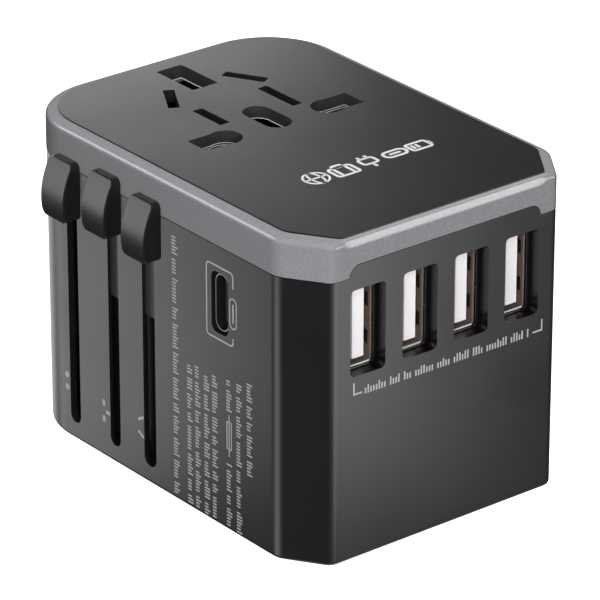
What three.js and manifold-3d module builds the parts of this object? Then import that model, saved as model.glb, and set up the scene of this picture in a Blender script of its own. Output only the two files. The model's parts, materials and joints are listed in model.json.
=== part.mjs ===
// Universal travel adapter with three sliding plugs, four USB-A ports and one USB-C port.
// Millimetres. The origin is the centre of the plug face that the adapter stands on, and +Z is up
// towards the sockets. +X is the adapter's width, and -Y is the front, the face with the USB-A ports.
import * as THREE from 'three';
import { mergeVertices } from 'three/addons/utils/BufferGeometryUtils.js';
import Module from 'manifold-3d';

const wasm = await Module();
wasm.setup();

// ---------- driving dimensions ----------

const GAP = 0.3;                     // clearance between neighbouring pieces
const FAR = 60;                      // past the edge of every piece, for cutting tools

const BODY_W = 50;
const BODY_L = 69;
const BODY_H = 50.4;
const CHAMFER_X = 4.6;               // front corners, along the width
const CHAMFER_Y = 6.8;               // front corners, along the length
const REAR_R = 12;
const EDGE_R = 1.6;                  // softening of the chamfers' long edges
const WALL = 2;
const BASE_T = 2.4;
const SEAM_Z = 44;                   // where the light band meets the dark shell
const LIP_TOP = 46.5;
const LIP_INSET = 1.4;
const LEDGE_Z = 46.8;
const LEDGE_INSET = 3.2;             // how far in the ledge under the top plate reaches
const PLATE_T = 2;
const RIM = 1.85;                    // width of the band's top rim
const RIM_FRONT = 0.45;
const ARCH_HALF = 17.5;              // the shell rises into the band above the USB-A ports
const ARCH_TOP = 45.9;
const ARCH_R = 2;
const BROW = { half: 19, z0: 48.6, depth: 0.35 };

const FRONT_Y = -BODY_L / 2;
const SIDE_X = -BODY_W / 2;
const PLATE_Z = BODY_H - PLATE_T;

// sockets in the top plate
const UK_PIN_GAP = 22.2;             // earth pin to the line and neutral pins, BS 1363
const EARTH = { y: 25.2, w: 4.6, l: 8.9 };
const ROUND_HOLE = { x: 9.4, y: 3.7, r: 2.5 };
const UK_HOLE = { x0: 8.2, x1: 14.5, y0: 1.6, y1: 6 };
const CENTRE_HOLE = { y: 6, w: 4.4, l: 9 };
const US_SLOT = { x: 6.35, y: 11.1, w: 1.7, neutral: 8.4, line: 6.6 };
const AU_SLOT = { x: 6.85, y: 20, w: 1.7, l: 6.8, tilt: 30 };

// sliding plugs
const SLOT_Z = 3;
const SLOT_TOP = 45.2;
const TRAVEL = 23;
const KNOB = { w: 5.8, h: 9.1, proud: 3.5, foot: 3, head: 2.3, corner: 1.1 };
const PEG = { w: 1.9, z0: 39.5, z1: 44.6 };
const SPINE_T = 1.3;
const SPINE_W = 5.2;
const SPINE_TOP = 45.4;
const CARRIAGE = { z: 26.3, t: 3.7, mortise: 2.6 };
const ARM_W = 3.4;
const SPINE_FOOT = CARRIAGE.z + 0.4;
// slot and slotW place the plug's slot in the side wall, knob and knobZ are the middle of its thumb
// piece, and wall is what its track leaves of the side wall
const EU = { slot: 20.3, slotW: 2.5, knob: 20.5, knobZ: 41.3, wall: 1.2, y: 15.5, x: 9.3, d: 4, length: 19 };
const UK = {
  slot: 10.4, slotW: 2.5, knob: 10.6, knobZ: 42.3, wall: 0.5,
  y: 4, x: 11.1, w: 6.35, t: 3.95, length: 17.7,
};
const UK_EARTH = { w: 3.95, l: 7.95 };
const UK_SLEEVE = { length: 9.7, t: 0.9 };   // the stretch of the line and neutral pins that is insulated
const US = {
  slot: 1.9, slotW: 2.9, knob: 1.1, knobZ: 41.8, wall: 0.5,
  y: -4.3, x: 6.35, w: 1.5, l: 6.3, length: 17,
};
const US_TURN = 30;
const US_STUB = { r: 2.6, flange: 3.3, hole: 0.9 };
const UK_EARTH_Y = UK.y + UK_PIN_GAP;
const PIN_TOP = CARRIAGE.z - GAP;
const PIN_NECK = 2.5;
// half sizes of the necks that go up into the carriages
const NECK = { round: 1.3, flatX: 1.7, flatY: 0.9, earthX: 0.9, earthY: 2.1 };

// charging ports
const USB_A = { pitch: 9.4, w: 6.3, h: 13.3, z: 35.45, shellW: 5.1, shellH: 12.7, depth: 12.6 };
const USB_A_X = [-1.5, -0.5, 0.5, 1.5].map((step) => step * USB_A.pitch);
const USB_A_Y = FRONT_Y + WALL + GAP;
const USB_C = { y: -14.9, z: 35.4, w: 3.8, h: 9.4, shellW: 3.2, shellH: 8.9, depth: 7.5 };
const SHEET = 0.35;                  // connector shell metal

// inside
const PARTITION_Y = -10;
const PORT_BOARD_Y = -18.4;
const BOARD_T = 1.4;
const MAINS_BOARD_Z = 4.4;
const BOARD_TOP = MAINS_BOARD_Z + BOARD_T + GAP;
const SHUTTER_Z = 46.2;
const SHUTTER_T = 1.9;
const SHUTTER_Y = -1.6;              // front edge of the shutter's bar
const SPRING_END_Y = -12.9;
const SOCKET = { x: 17.2, y0: -0.2, y1: 30.6, z0: 31, floor: 1.4, top: 45.9 };
const CONTACT_Z = SOCKET.z0 + SOCKET.floor + GAP;
const CONTACT = { strip: 0.7, leaf: 0.4, top: 44 };
const FUSE = { x: 12.6, y: -21.4, z: 12, length: 20, r: 2.5, cap: 5 };
const CORE_Y = -21;
const CORE = { w: 16, l: 14, h: 14, leg: 2.6, centreLeg: 4 };
const BOSSES = [[-18.6, -27.4], [18.6, -27.4], [-19.2, 26.4], [19.2, 26.4]];
const BOSS = { r: 2.3, top: 12, rib: 1.4, bore: 1.3, boreTop: 10.6 };

// ---------- solids ----------

function toSolid(geometry) {
  const bare = geometry.clone();
  bare.deleteAttribute('normal');
  bare.deleteAttribute('uv');
  const merged = mergeVertices(bare, 1e-4);
  return new wasm.Manifold(new wasm.Mesh({
    numProp: 3,
    vertProperties: new Float32Array(merged.attributes.position.array),
    triVerts: new Uint32Array(merged.index.array),
  }));
}

function toGeometry(solid) {
  const mesh = solid.getMesh();
  const geometry = new THREE.BufferGeometry();
  geometry.setAttribute('position', new THREE.BufferAttribute(mesh.vertProperties, 3));
  geometry.setIndex(new THREE.BufferAttribute(mesh.triVerts, 1));
  geometry.computeVertexNormals();
  return geometry;
}

const join = (first, ...rest) => rest.reduce((sum, piece) => sum.add(piece), first);
const cut = (first, ...rest) => rest.reduce((left, piece) => left.subtract(piece), first);

// the lower and the higher of two numbers
const span = (a, b) => [Math.min(a, b), Math.max(a, b)];

// a box between two corners
function box(x0, x1, y0, y1, z0, z1) {
  const geometry = new THREE.BoxGeometry(x1 - x0, y1 - y0, z1 - z0);
  geometry.translate((x0 + x1) / 2, (y0 + y1) / 2, (z0 + z1) / 2);
  return toSolid(geometry);
}

// a box of a given size about a centre in plan, turned about its own vertical axis
function turnedBox(x, y, w, l, z0, z1, degrees) {
  const geometry = new THREE.BoxGeometry(w, l, z1 - z0);
  geometry.rotateZ(THREE.MathUtils.degToRad(degrees));
  geometry.translate(x, y, (z0 + z1) / 2);
  return toSolid(geometry);
}

function cylinder(x, y, r, z0, z1, sides = 20) {
  const geometry = new THREE.CylinderGeometry(r, r, z1 - z0, sides);
  geometry.rotateX(Math.PI / 2);
  geometry.translate(x, y, (z0 + z1) / 2);
  return toSolid(geometry);
}

// a prism that stands on a shape in the XY plane, with an optional chamfer on both end edges
function prism(shape, z0, z1, chamfer = 0) {
  const geometry = new THREE.ExtrudeGeometry(shape, {
    depth: z1 - z0 - 2 * chamfer,
    bevelEnabled: chamfer > 0,
    bevelThickness: chamfer,
    bevelSize: chamfer,
    bevelOffset: -chamfer,
    bevelSegments: 2,
    curveSegments: 6,
  });
  geometry.translate(0, 0, z0 + chamfer);
  return toSolid(geometry);
}

// a prism along Y on a shape drawn in X and Z
function prismAlongY(shape, y0, y1) {
  const geometry = new THREE.ExtrudeGeometry(shape, { depth: y1 - y0, bevelEnabled: false, curveSegments: 4 });
  geometry.rotateX(Math.PI / 2);
  geometry.translate(0, y1, 0);
  return toSolid(geometry);
}

// a prism along X on a shape drawn in Y and Z
function prismAlongX(shape, x0, x1) {
  const geometry = new THREE.ExtrudeGeometry(shape, { depth: x1 - x0, bevelEnabled: false, curveSegments: 4 });
  geometry.rotateX(Math.PI / 2);
  geometry.rotateZ(Math.PI / 2);
  geometry.translate(x0, 0, 0);
  return toSolid(geometry);
}

// ---------- outlines ----------

// a polygon whose corners are rounded by arcs; each corner is [x, y, radius, steps]
function roundedPolygon(corners) {
  const points = [];
  corners.forEach(([x, y, radius = 0, steps = 3], i) => {
    const here = new THREE.Vector2(x, y);
    if (radius <= 0) {
      points.push(here);
      return;
    }
    const before = corners[(i + corners.length - 1) % corners.length];
    const after = corners[(i + 1) % corners.length];
    const back = new THREE.Vector2(before[0] - x, before[1] - y).normalize();
    const on = new THREE.Vector2(after[0] - x, after[1] - y).normalize();
    const half = Math.acos(THREE.MathUtils.clamp(back.dot(on), -1, 1)) / 2;
    const tangent = radius / Math.tan(half);
    const centre = here.clone().addScaledVector(back.clone().add(on).normalize(), radius / Math.sin(half));
    const start = here.clone().addScaledVector(back, tangent).sub(centre);
    const end = here.clone().addScaledVector(on, tangent).sub(centre);
    const turn = Math.atan2(start.cross(end), start.dot(end));
    for (let step = 0; step <= steps; step += 1) {
      points.push(start.clone().rotateAround(new THREE.Vector2(), turn * step / steps).add(centre));
    }
  });
  return new THREE.Shape(points);
}

// the adapter's outline in plan, moved in by an inset; the front edge can have an inset of its own
function bodyOutline(inset, frontInset = inset) {
  const half = BODY_W / 2 - inset;
  const front = FRONT_Y + frontInset;
  const back = BODY_L / 2 - inset;
  const slope = CHAMFER_Y / CHAMFER_X;
  const shift = inset * Math.hypot(1, slope);
  const edgeY = (x) => FRONT_Y + CHAMFER_Y - (BODY_W / 2 - x) * slope + shift;
  const edgeX = (y) => BODY_W / 2 - (FRONT_Y + CHAMFER_Y + shift - y) / slope;
  const rear = REAR_R - inset;
  return roundedPolygon([
    [edgeX(front), front, EDGE_R],
    [half, edgeY(half), EDGE_R],
    [half, back, rear, 8],
    [-half, back, rear, 8],
    [-half, edgeY(half), EDGE_R],
    [-edgeX(front), front, EDGE_R],
  ]);
}

function roundedRect(x, y, w, h, r, steps = 3) {
  return roundedPolygon([
    [x - w / 2, y - h / 2, r, steps],
    [x + w / 2, y - h / 2, r, steps],
    [x + w / 2, y + h / 2, r, steps],
    [x - w / 2, y + h / 2, r, steps],
  ]);
}

// ---------- housing ----------

function screwBosses() {
  const foot = BASE_T + GAP;
  const reach = BODY_W / 2 - WALL + 0.4;
  return BOSSES.map(([x, y]) => {
    const post = cylinder(x, y, BOSS.r, foot, BOSS.top, 14);
    const rib = box(...span(x, Math.sign(x) * reach), y - BOSS.rib / 2, y + BOSS.rib / 2, foot, BOSS.top);
    return join(post, rib);
  });
}

// the round-shouldered stretch where the shell rises into the band, grown or shrunk by an offset
function archOutline(offset) {
  const foot = SEAM_Z - 4;
  const height = ARCH_TOP + offset - foot;
  return roundedRect(0, foot + height / 2, 2 * (ARCH_HALF + offset), height, ARCH_R);
}

function bodyShell() {
  const outside = prism(bodyOutline(0), 0, SEAM_Z + 2, 0.8);
  const lower = cut(outside, box(-FAR, FAR, -FAR, FAR, SEAM_Z - GAP / 2, FAR));
  const arch = prismAlongY(archOutline(-GAP / 2), FRONT_Y, FRONT_Y + WALL);
  const lip = prism(bodyOutline(LIP_INSET), SEAM_Z - 4, LIP_TOP);
  const hollow = prism(bodyOutline(WALL), -FAR, FAR);
  const walls = cut(join(lower, lip, arch), hollow);
  const bosses = screwBosses().map((boss) => boss.intersect(prism(bodyOutline(0.6), 0, 20)));
  const screwHoles = BOSSES.map(([x, y]) => cylinder(x, y, BOSS.bore, 0, BOSS.boreTop, 10));
  const usbWindows = USB_A_X.map((x) => {
    const window = roundedRect(x, USB_A.z, USB_A.w, USB_A.h, 0.8);
    return prismAlongY(window, -FAR, FRONT_Y + WALL + 1);
  });
  const typeC = prismAlongX(roundedRect(USB_C.y, USB_C.z, USB_C.w, USB_C.h, 1.8), -FAR, SIDE_X + WALL + 1);
  const solid = join(walls, ...bosses);
  return cut(solid, ...screwHoles, ...usbWindows, typeC, ...sliderSlots(), ...sliderTracks(FAR));
}

function sliderSlots() {
  return [EU, UK, US].map((plug) => {
    const height = SLOT_TOP - SLOT_Z;
    const shape = roundedRect(plug.slot, SLOT_Z + height / 2, plug.slotW, height, plug.slotW / 2 - 0.01, 5);
    return prismAlongX(shape, -FAR, SIDE_X + 2 * WALL);
  });
}

// the flat channels inside the wall that the sliders' spines run in
function sliderTracks(top) {
  return [EU, UK, US].map((plug) => {
    const half = SPINE_W / 2 + GAP;
    return box(SIDE_X + plug.wall, SIDE_X + 2 * WALL, plug.slot - half, plug.slot + half, BASE_T + GAP, top);
  });
}

function basePlate() {
  const room = 0.8;
  const headRoom = 1.4;
  const plate = prism(bodyOutline(WALL + GAP), 0, BASE_T);
  const round = [-EU.x, EU.x].map((x) => cylinder(x, EU.y, (EU.d + room) / 2, -FAR, FAR, 24));
  const flat = [-UK.x, UK.x].map((x) => prism(roundedRect(x, UK.y, UK.w + room, UK.t + room, 0.5), -FAR, FAR));
  const earth = prism(roundedRect(0, UK_EARTH_Y, UK_EARTH.w + room, UK_EARTH.l + room, 0.5), -FAR, FAR);
  const blades = [-1, 1].map((side) => prism(bladeSweep(side), -FAR, FAR));
  const screws = BOSSES.map(([x, y]) => join(
    cylinder(x, y, BOSS.bore, -FAR, FAR, 12),
    cylinder(x, y, BOSS.r, -FAR, headRoom, 20),
  ));
  return cut(plate, ...round, ...flat, earth, ...blades, ...screws);
}

// the hole that a flat blade sweeps as it turns from upright to its slanted place
function bladeSweep(side) {
  const halfW = US.w / 2 + GAP;
  const halfL = US.l / 2 + GAP;
  const reach = Math.hypot(halfW, halfL);
  const spread = THREE.MathUtils.radToDeg(Math.atan2(halfW, halfL));
  const steps = 5;
  const points = [];
  for (const end of [90, 270]) {
    const from = side > 0 ? end - spread : end - spread - US_TURN;
    for (let step = 0; step <= steps; step += 1) {
      const angle = THREE.MathUtils.degToRad(from + (US_TURN + 2 * spread) * step / steps);
      points.push(new THREE.Vector2(side * US.x + reach * Math.cos(angle), US.y + reach * Math.sin(angle)));
    }
  }
  return new THREE.Shape(points);
}

function baseScrew() {
  const profile = [[0, 0.1], [1.6, 0.1], [1.95, 0.35], [1.95, 1.15], [0.95, 1.15], [0.95, 9.9], [0, 9.9]];
  const geometry = new THREE.LatheGeometry(profile.map(([r, z]) => new THREE.Vector2(r, z)), 16);
  geometry.rotateX(Math.PI / 2);
  const slots = [
    box(-1.2, 1.2, -0.25, 0.25, -1, 0.75),
    box(-0.25, 0.25, -1.2, 1.2, -1, 0.75),
  ];
  return cut(toSolid(geometry), ...slots);
}

function topBand() {
  const rimDrop = 0.4;
  const band = prism(bodyOutline(0), SEAM_Z - 2, BODY_H - rimDrop / 2 + 1, 1)
    .intersect(prism(bodyOutline(0), SEAM_Z + 0.15, BODY_H - rimDrop / 2));
  const lower = prism(bodyOutline(LIP_INSET - GAP), -FAR, LEDGE_Z);
  const middle = prism(bodyOutline(LEDGE_INSET), -FAR, FAR);
  const upper = prism(bodyOutline(RIM, RIM_FRONT), PLATE_Z - GAP / 2, FAR);
  const arch = prismAlongY(archOutline(GAP / 2), -FAR, FRONT_Y + WALL + 1);
  return cut(band, lower, middle, upper, arch, brow(), ...sliderSlots(), ...sliderTracks(SPINE_TOP + 2 * GAP));
}

// the slanted facet along the band's front top edge, which stops short of the chamfered corners
function brow() {
  const slant = new THREE.Shape([
    new THREE.Vector2(FRONT_Y - 1, BROW.z0),
    new THREE.Vector2(FRONT_Y, BROW.z0),
    new THREE.Vector2(FRONT_Y + BROW.depth, BODY_H),
    new THREE.Vector2(FRONT_Y - 1, BODY_H),
  ]);
  return prismAlongX(slant, -BROW.half, BROW.half);
}

function topPlate() {
  const plate = prism(bodyOutline(RIM + GAP / 2, RIM_FRONT + GAP / 2), PLATE_Z, BODY_H);
  const slots = [];
  for (const side of [-1, 1]) {
    const r = ROUND_HOLE;
    slots.push(cylinder(side * r.x, r.y, r.r, 0, FAR, 24));
    slots.push(box(...span(side * UK_HOLE.x0, side * UK_HOLE.x1), UK_HOLE.y0, UK_HOLE.y1, 0, FAR));
    const length = side < 0 ? US_SLOT.line : US_SLOT.neutral;
    slots.push(turnedBox(side * US_SLOT.x, US_SLOT.y, US_SLOT.w, length, 0, FAR, 0));
    slots.push(turnedBox(side * AU_SLOT.x, AU_SLOT.y, AU_SLOT.w, AU_SLOT.l, 0, FAR, side * AU_SLOT.tilt));
  }
  slots.push(box(-EARTH.w / 2, EARTH.w / 2, EARTH.y - EARTH.l / 2, EARTH.y + EARTH.l / 2, 0, FAR));
  const centre = roundedRect(0, CENTRE_HOLE.y, CENTRE_HOLE.w, CENTRE_HOLE.l, CENTRE_HOLE.w / 2 - 0.01, 6);
  slots.push(prism(centre, 0, FAR));
  return cut(plate, ...slots);
}

// ---------- socket behind the top plate ----------

function socketBlock() {
  const block = box(-SOCKET.x, SOCKET.x, SOCKET.y0, SOCKET.y1, SOCKET.z0, SOCKET.top);
  const floor = SOCKET.z0 + SOCKET.floor;
  const outer = SOCKET.x - 1.2;
  const chambers = [
    box(-outer, -4.4, 1, 24.6, floor, FAR),
    box(4.4, outer, 1, 24.6, floor, FAR),
    box(-3.2, 3.2, 1, 11.6, floor, FAR),
    box(-3.2, 3.2, 19.6, SOCKET.y1 - 0.6, floor, FAR),
  ];
  const shelf = box(-4, 4, SPRING_END_Y - 1.5, SOCKET.y0 + 1, 43.5, SOCKET.top);
  const post = box(-3, 3, SPRING_END_Y - 1.5, SPRING_END_Y - GAP, SOCKET.top - 1, 48);
  return join(cut(block, ...chambers), shelf, post);
}

// one pole's spring metal: a strip with a pair of leaves under each of its holes
function poleContact(side) {
  const strip = box(...span(side * 4.7, side * 15.6), 1.2, 24.2, CONTACT_Z, CONTACT_Z + CONTACT.strip);
  const leaves = [];
  for (const y of [1.4, 5.9]) {
    leaves.push(box(...span(side * 8.6, side * 14.6), y, y + CONTACT.leaf, CONTACT_Z, CONTACT.top));
  }
  for (const offset of [-1.3, 1.3]) {
    const x = side * US_SLOT.x + offset;
    leaves.push(box(x - CONTACT.leaf / 2, x + CONTACT.leaf / 2, 8, 14.4, CONTACT_Z, CONTACT.top));
  }
  for (const offset of [-1.4, 1.4]) {
    const tilt = THREE.MathUtils.degToRad(side * AU_SLOT.tilt);
    const x = side * AU_SLOT.x + offset * Math.cos(tilt);
    const y = AU_SLOT.y + offset * Math.sin(tilt);
    leaves.push(turnedBox(x, y, CONTACT.leaf, 4, CONTACT_Z, CONTACT.top, side * AU_SLOT.tilt));
  }
  return join(strip, ...leaves);
}

function earthContact() {
  const half = 2.8;
  const strip = box(-half, half, 20.4, 29.4, CONTACT_Z, CONTACT_Z + CONTACT.strip);
  const left = box(-half, CONTACT.leaf - half, 21.4, 28.8, CONTACT_Z, CONTACT.top);
  const right = box(half - CONTACT.leaf, half, 21.4, 28.8, CONTACT_Z, CONTACT.top);
  return join(strip, left, right);
}

// the sprung cover under the line and neutral holes; two pads on one bar
function socketShutter() {
  const top = SHUTTER_Z + SHUTTER_T;
  const half = 15.4;
  const inner = 6.2;
  const bar = box(-half, half, SHUTTER_Y, 1.3, SHUTTER_Z, top);
  const pads = [-1, 1].map((side) => box(...span(side * inner, side * half), 1, 6.6, SHUTTER_Z, top));
  const ramps = [-1, 1].map((side) => {
    const slope = new THREE.Shape([
      new THREE.Vector2(2, top + 1),
      new THREE.Vector2(7.2, top + 1),
      new THREE.Vector2(7.2, top - 1),
      new THREE.Vector2(6.2, top - 1),
      new THREE.Vector2(2.6, top),
    ]);
    return prismAlongX(slope, ...span(side * (inner - 1), side * (half + 1)));
  });
  return cut(join(bar, ...pads), ...ramps);
}

function shutterSpring() {
  const from = SHUTTER_Y - GAP;
  const to = SPRING_END_Y;
  const turns = 7;
  const radius = 0.75;
  class Coil extends THREE.Curve {
    getPoint(t, target = new THREE.Vector3()) {
      const angle = 2 * Math.PI * turns * t;
      return target.set(radius * Math.cos(angle), from + (to - from) * t, radius * Math.sin(angle));
    }
  }
  const wire = new THREE.Shape();
  wire.absarc(0, 0, 0.16, 0, 2 * Math.PI);
  const geometry = new THREE.ExtrudeGeometry(wire, {
    extrudePath: new Coil(), steps: turns * 10, curveSegments: 3, bevelEnabled: false,
  });
  geometry.translate(0, 0, SHUTTER_Z + SHUTTER_T / 2);
  return toSolid(geometry);
}

// ---------- sliding plugs ----------

const spineX = (plug) => SIDE_X + plug.wall + GAP;

// the thumb piece outside the wall and the peg that goes through the slot
function sliderKnob(plug) {
  const z0 = plug.knobZ - KNOB.h / 2;
  const z1 = plug.knobZ + KNOB.h / 2;
  const face = roundedRect(plug.knob, plug.knobZ, KNOB.w, KNOB.h, KNOB.corner);
  const blank = prismAlongX(face, SIDE_X - KNOB.proud, SIDE_X - GAP);
  const crown = new THREE.Shape();
  crown.moveTo(SIDE_X, z0 - 1);
  crown.lineTo(SIDE_X - KNOB.foot, z0 - 1);
  crown.lineTo(SIDE_X - KNOB.foot, z0);
  crown.quadraticCurveTo(SIDE_X - KNOB.proud - 0.75, plug.knobZ, SIDE_X - KNOB.head, z1);
  crown.lineTo(SIDE_X, z1);
  const side = prismAlongY(crown, plug.knob - KNOB.w, plug.knob + KNOB.w);
  const half = PEG.w / 2;
  const peg = box(SIDE_X - 1, spineX(plug) - GAP, plug.slot - half, plug.slot + half, PEG.z0, PEG.z1);
  return join(blank.intersect(side), peg);
}

// the flat plate that runs in the wall's track behind the slot
function spine(plug, z0) {
  const height = SPINE_TOP - z0;
  const shape = roundedRect(plug.slot, z0 + height / 2, SPINE_W, height, 1, 2);
  return prismAlongX(shape, spineX(plug), spineX(plug) + SPINE_T);
}

// a carriage's flat body, on an outline in plan
function plate(points) {
  const shape = new THREE.Shape(points.map(([x, y]) => new THREE.Vector2(x, y)));
  return prism(shape, CARRIAGE.z, CARRIAGE.z + CARRIAGE.t);
}

function euCarriage() {
  const arm = ARM_W / 2;
  const legX = -19.5;
  const bridgeZ = 38.5;
  const outer = EU.x + 3.1;
  const near = EU.y - 2.8;
  const far = EU.y + 2.8;
  const bar = plate([
    [legX, EU.slot - arm], [-outer, EU.slot - arm], [-outer, near], [outer, near],
    [outer, far], [-6, far], [-6, EU.slot + arm], [legX, EU.slot + arm],
  ]);
  const leg = box(legX, legX + SPINE_T, EU.slot - arm, EU.slot + arm, CARRIAGE.z, SPINE_TOP);
  const bridge = box(spineX(EU) + 0.5, legX + 0.5, EU.slot - 1.2, EU.slot + 1.2, bridgeZ, SPINE_TOP);
  const roof = CARRIAGE.z + CARRIAGE.mortise;
  const sockets = [-EU.x, EU.x].map((x) => cylinder(x, EU.y, NECK.round + GAP, 0, roof, 16));
  return cut(join(bar, leg, bridge, spine(EU, bridgeZ)), ...sockets);
}

// the hole in a carriage's underside that takes the neck of a flat-sided pin
function mortise(x, y, halfX, halfY) {
  const w = halfX + GAP;
  const l = halfY + GAP;
  return box(x - w, x + w, y - l, y + l, 0, CARRIAGE.z + CARRIAGE.mortise);
}

function ukCarriage() {
  const arm = ARM_W / 2;
  const root = spineX(UK) + 0.5;
  const bar = plate([
    [root, UK.slot - arm], [-15.2, UK.slot - arm], [-15.2, 1.2], [16.4, 1.2],
    [16.4, 29.6], [-3, 29.6], [-3, 22.6], [13.2, 22.6], [13.2, 6.8],
    [-12.2, 6.8], [-12.2, UK.slot + arm], [root, UK.slot + arm],
  ]);
  const sockets = [
    mortise(-UK.x, UK.y, NECK.flatX, NECK.flatY),
    mortise(UK.x, UK.y, NECK.flatX, NECK.flatY),
    mortise(0, UK_EARTH_Y, NECK.earthX, NECK.earthY),
  ];
  return cut(join(bar, spine(UK, SPINE_FOOT)), ...sockets);
}

function usCarriage() {
  const arm = ARM_W / 2;
  const root = spineX(US) + 0.5;
  const bar = plate([
    [root, US.slot - arm], [-20.2, US.slot - arm], [-20.2, -8], [10.6, -8],
    [10.6, -0.7], [-16.8, -0.7], [-16.8, US.slot + arm], [root, US.slot + arm],
  ]);
  const sockets = [-US.x, US.x].map((x) => cylinder(x, US.y, US_STUB.r + GAP, 0, FAR, 20));
  return cut(join(bar, spine(US, SPINE_FOOT)), ...sockets);
}

const tipZ = (plug) => TRAVEL - plug.length;

// a round pin with a domed tip and a spigot that is pressed into the carriage
function roundPin() {
  const r = EU.d / 2;
  const tip = tipZ(EU);
  const profile = new THREE.Path();
  profile.moveTo(0, tip);
  profile.lineTo(r - 1, tip);
  profile.absarc(r - 1, tip + 1, 1, -Math.PI / 2, 0);
  profile.lineTo(r, PIN_TOP);
  profile.lineTo(NECK.round, PIN_TOP);
  profile.lineTo(NECK.round, PIN_TOP + PIN_NECK);
  profile.lineTo(0, PIN_TOP + PIN_NECK);
  const geometry = new THREE.LatheGeometry(profile.getPoints(4), 24);
  geometry.rotateX(Math.PI / 2);
  return toSolid(geometry);
}

// the outline of a pin seen from one side, with its tip cut back at both corners
function tipOutline(width, tip, top, slant) {
  const half = width / 2;
  return roundedPolygon([
    [-half + slant, tip], [half - slant, tip], [half, tip + 2 * slant],
    [half, top], [-half, top], [-half, tip + 2 * slant],
  ]);
}

// the straight shank of a flat-sided pin
function shank(w, l, tip) {
  const slant = Math.min(w, l) / 4;
  const seenAlongY = prismAlongY(tipOutline(w, tip, PIN_TOP, slant), -l / 2, l / 2);
  const seenAlongX = prismAlongX(tipOutline(l, tip, PIN_TOP, slant), -w / 2, w / 2);
  return seenAlongY.intersect(seenAlongX);
}

// the narrow neck of a flat-sided pin, which goes up into the carriage
function neck(halfX, halfY) {
  return box(-halfX, halfX, -halfY, halfY, PIN_TOP - 1, PIN_TOP + PIN_NECK);
}

// a line or neutral pin of the UK plug, thinner where its sleeve goes
function ukPolePin() {
  const halfX = UK.w / 2 - UK_SLEEVE.t;
  const halfY = UK.t / 2 - UK_SLEEVE.t;
  const foot = PIN_TOP - UK_SLEEVE.length;
  const bare = cut(shank(UK.w, UK.t, tipZ(UK)), box(-FAR, FAR, -FAR, FAR, foot, FAR));
  const core = box(-halfX, halfX, -halfY, halfY, foot - 1, PIN_TOP);
  return join(bare, core, neck(NECK.flatX, NECK.flatY));
}

function ukEarthPin() {
  return join(shank(UK_EARTH.w, UK_EARTH.l, tipZ(UK)), neck(NECK.earthX, NECK.earthY));
}

function pinSleeve() {
  const bottom = PIN_TOP - UK_SLEEVE.length + GAP;
  const top = PIN_TOP - GAP;
  const bore = 2 * (UK_SLEEVE.t - GAP);
  const outside = prism(roundedRect(0, 0, UK.w, UK.t, 0.4, 2), bottom, top);
  const inside = prism(roundedRect(0, 0, UK.w - bore, UK.t - bore, 0.4, 2), 0, FAR);
  return cut(outside, inside);
}

// a flat blade on the round stub that turns in its carriage
function turningBlade() {
  const hole = new THREE.CylinderGeometry(US_STUB.hole, US_STUB.hole, 2 * US.w, 12);
  hole.rotateZ(Math.PI / 2);
  hole.translate(0, 0, tipZ(US) + 3.6);
  const flangeZ = CARRIAGE.z + CARRIAGE.t + GAP;
  const stub = cylinder(0, 0, US_STUB.r, PIN_TOP - 0.01, flangeZ, 20);
  const flange = cylinder(0, 0, US_STUB.flange, flangeZ, flangeZ + 0.6, 20);
  return join(cut(shank(US.w, US.l, tipZ(US)), toSolid(hole)), stub, flange);
}

// the comb behind the tracks that keeps the spines against the wall
function sliderGuide() {
  const front = spineX(EU) + SPINE_T + GAP;
  const comb = box(front, front + 1.1, -4, 23.8, BASE_T + 0.5, SPINE_TOP + 1);
  const gaps = [EU, UK, US].map((plug) => {
    const half = ARM_W / 2 + 0.5;
    return box(-FAR, FAR, plug.slot - half, plug.slot + half, 0, SPINE_TOP + GAP);
  });
  return cut(comb, ...gaps);
}

// ---------- charging ports and power supply ----------

function usbAShell() {
  const back = USB_A_Y + USB_A.depth;
  const outside = prismAlongY(roundedRect(0, USB_A.z, USB_A.shellW, USB_A.shellH, 0.5, 2), USB_A_Y, back);
  const inside = prismAlongY(
    roundedRect(0, USB_A.z, USB_A.shellW - 2 * SHEET, USB_A.shellH - 2 * SHEET, 0.3, 2),
    USB_A_Y - 1,
    back - SHEET,
  );
  const springs = [];
  for (const side of [-1, 1]) {
    for (const z of [USB_A.z - 3, USB_A.z + 3]) {
      const x = side * USB_A.shellW / 2;
      springs.push(box(x - 1, x + 1, USB_A_Y + 4, USB_A_Y + 8, z - 0.8, z + 0.8));
    }
  }
  return cut(outside, inside, ...springs);
}

// the pale tongue that carries the four contacts, and the block at its root
function usbATongue() {
  const half = USB_A.shellW / 2 - SHEET - GAP;
  const tall = USB_A.shellH / 2 - SHEET - GAP;
  const back = USB_A_Y + USB_A.depth - SHEET - GAP;
  const tongue = box(-0.6, 1.25, USB_A_Y + 0.5, back, USB_A.z - 5.5, USB_A.z + 5.5);
  const block = box(-half, half, back - 3, back, USB_A.z - tall, USB_A.z + tall);
  return join(tongue, block);
}

function usbCShell() {
  const front = SIDE_X + 0.5;
  const outside = prismAlongX(
    roundedRect(USB_C.y, USB_C.z, USB_C.shellW, USB_C.shellH, 1.55, 5), front, front + USB_C.depth);
  const inside = prismAlongX(
    roundedRect(USB_C.y, USB_C.z, USB_C.shellW - 2 * SHEET, USB_C.shellH - 2 * SHEET, 1.2, 5),
    front - 1,
    front + USB_C.depth - SHEET,
  );
  return cut(outside, inside);
}

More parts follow.
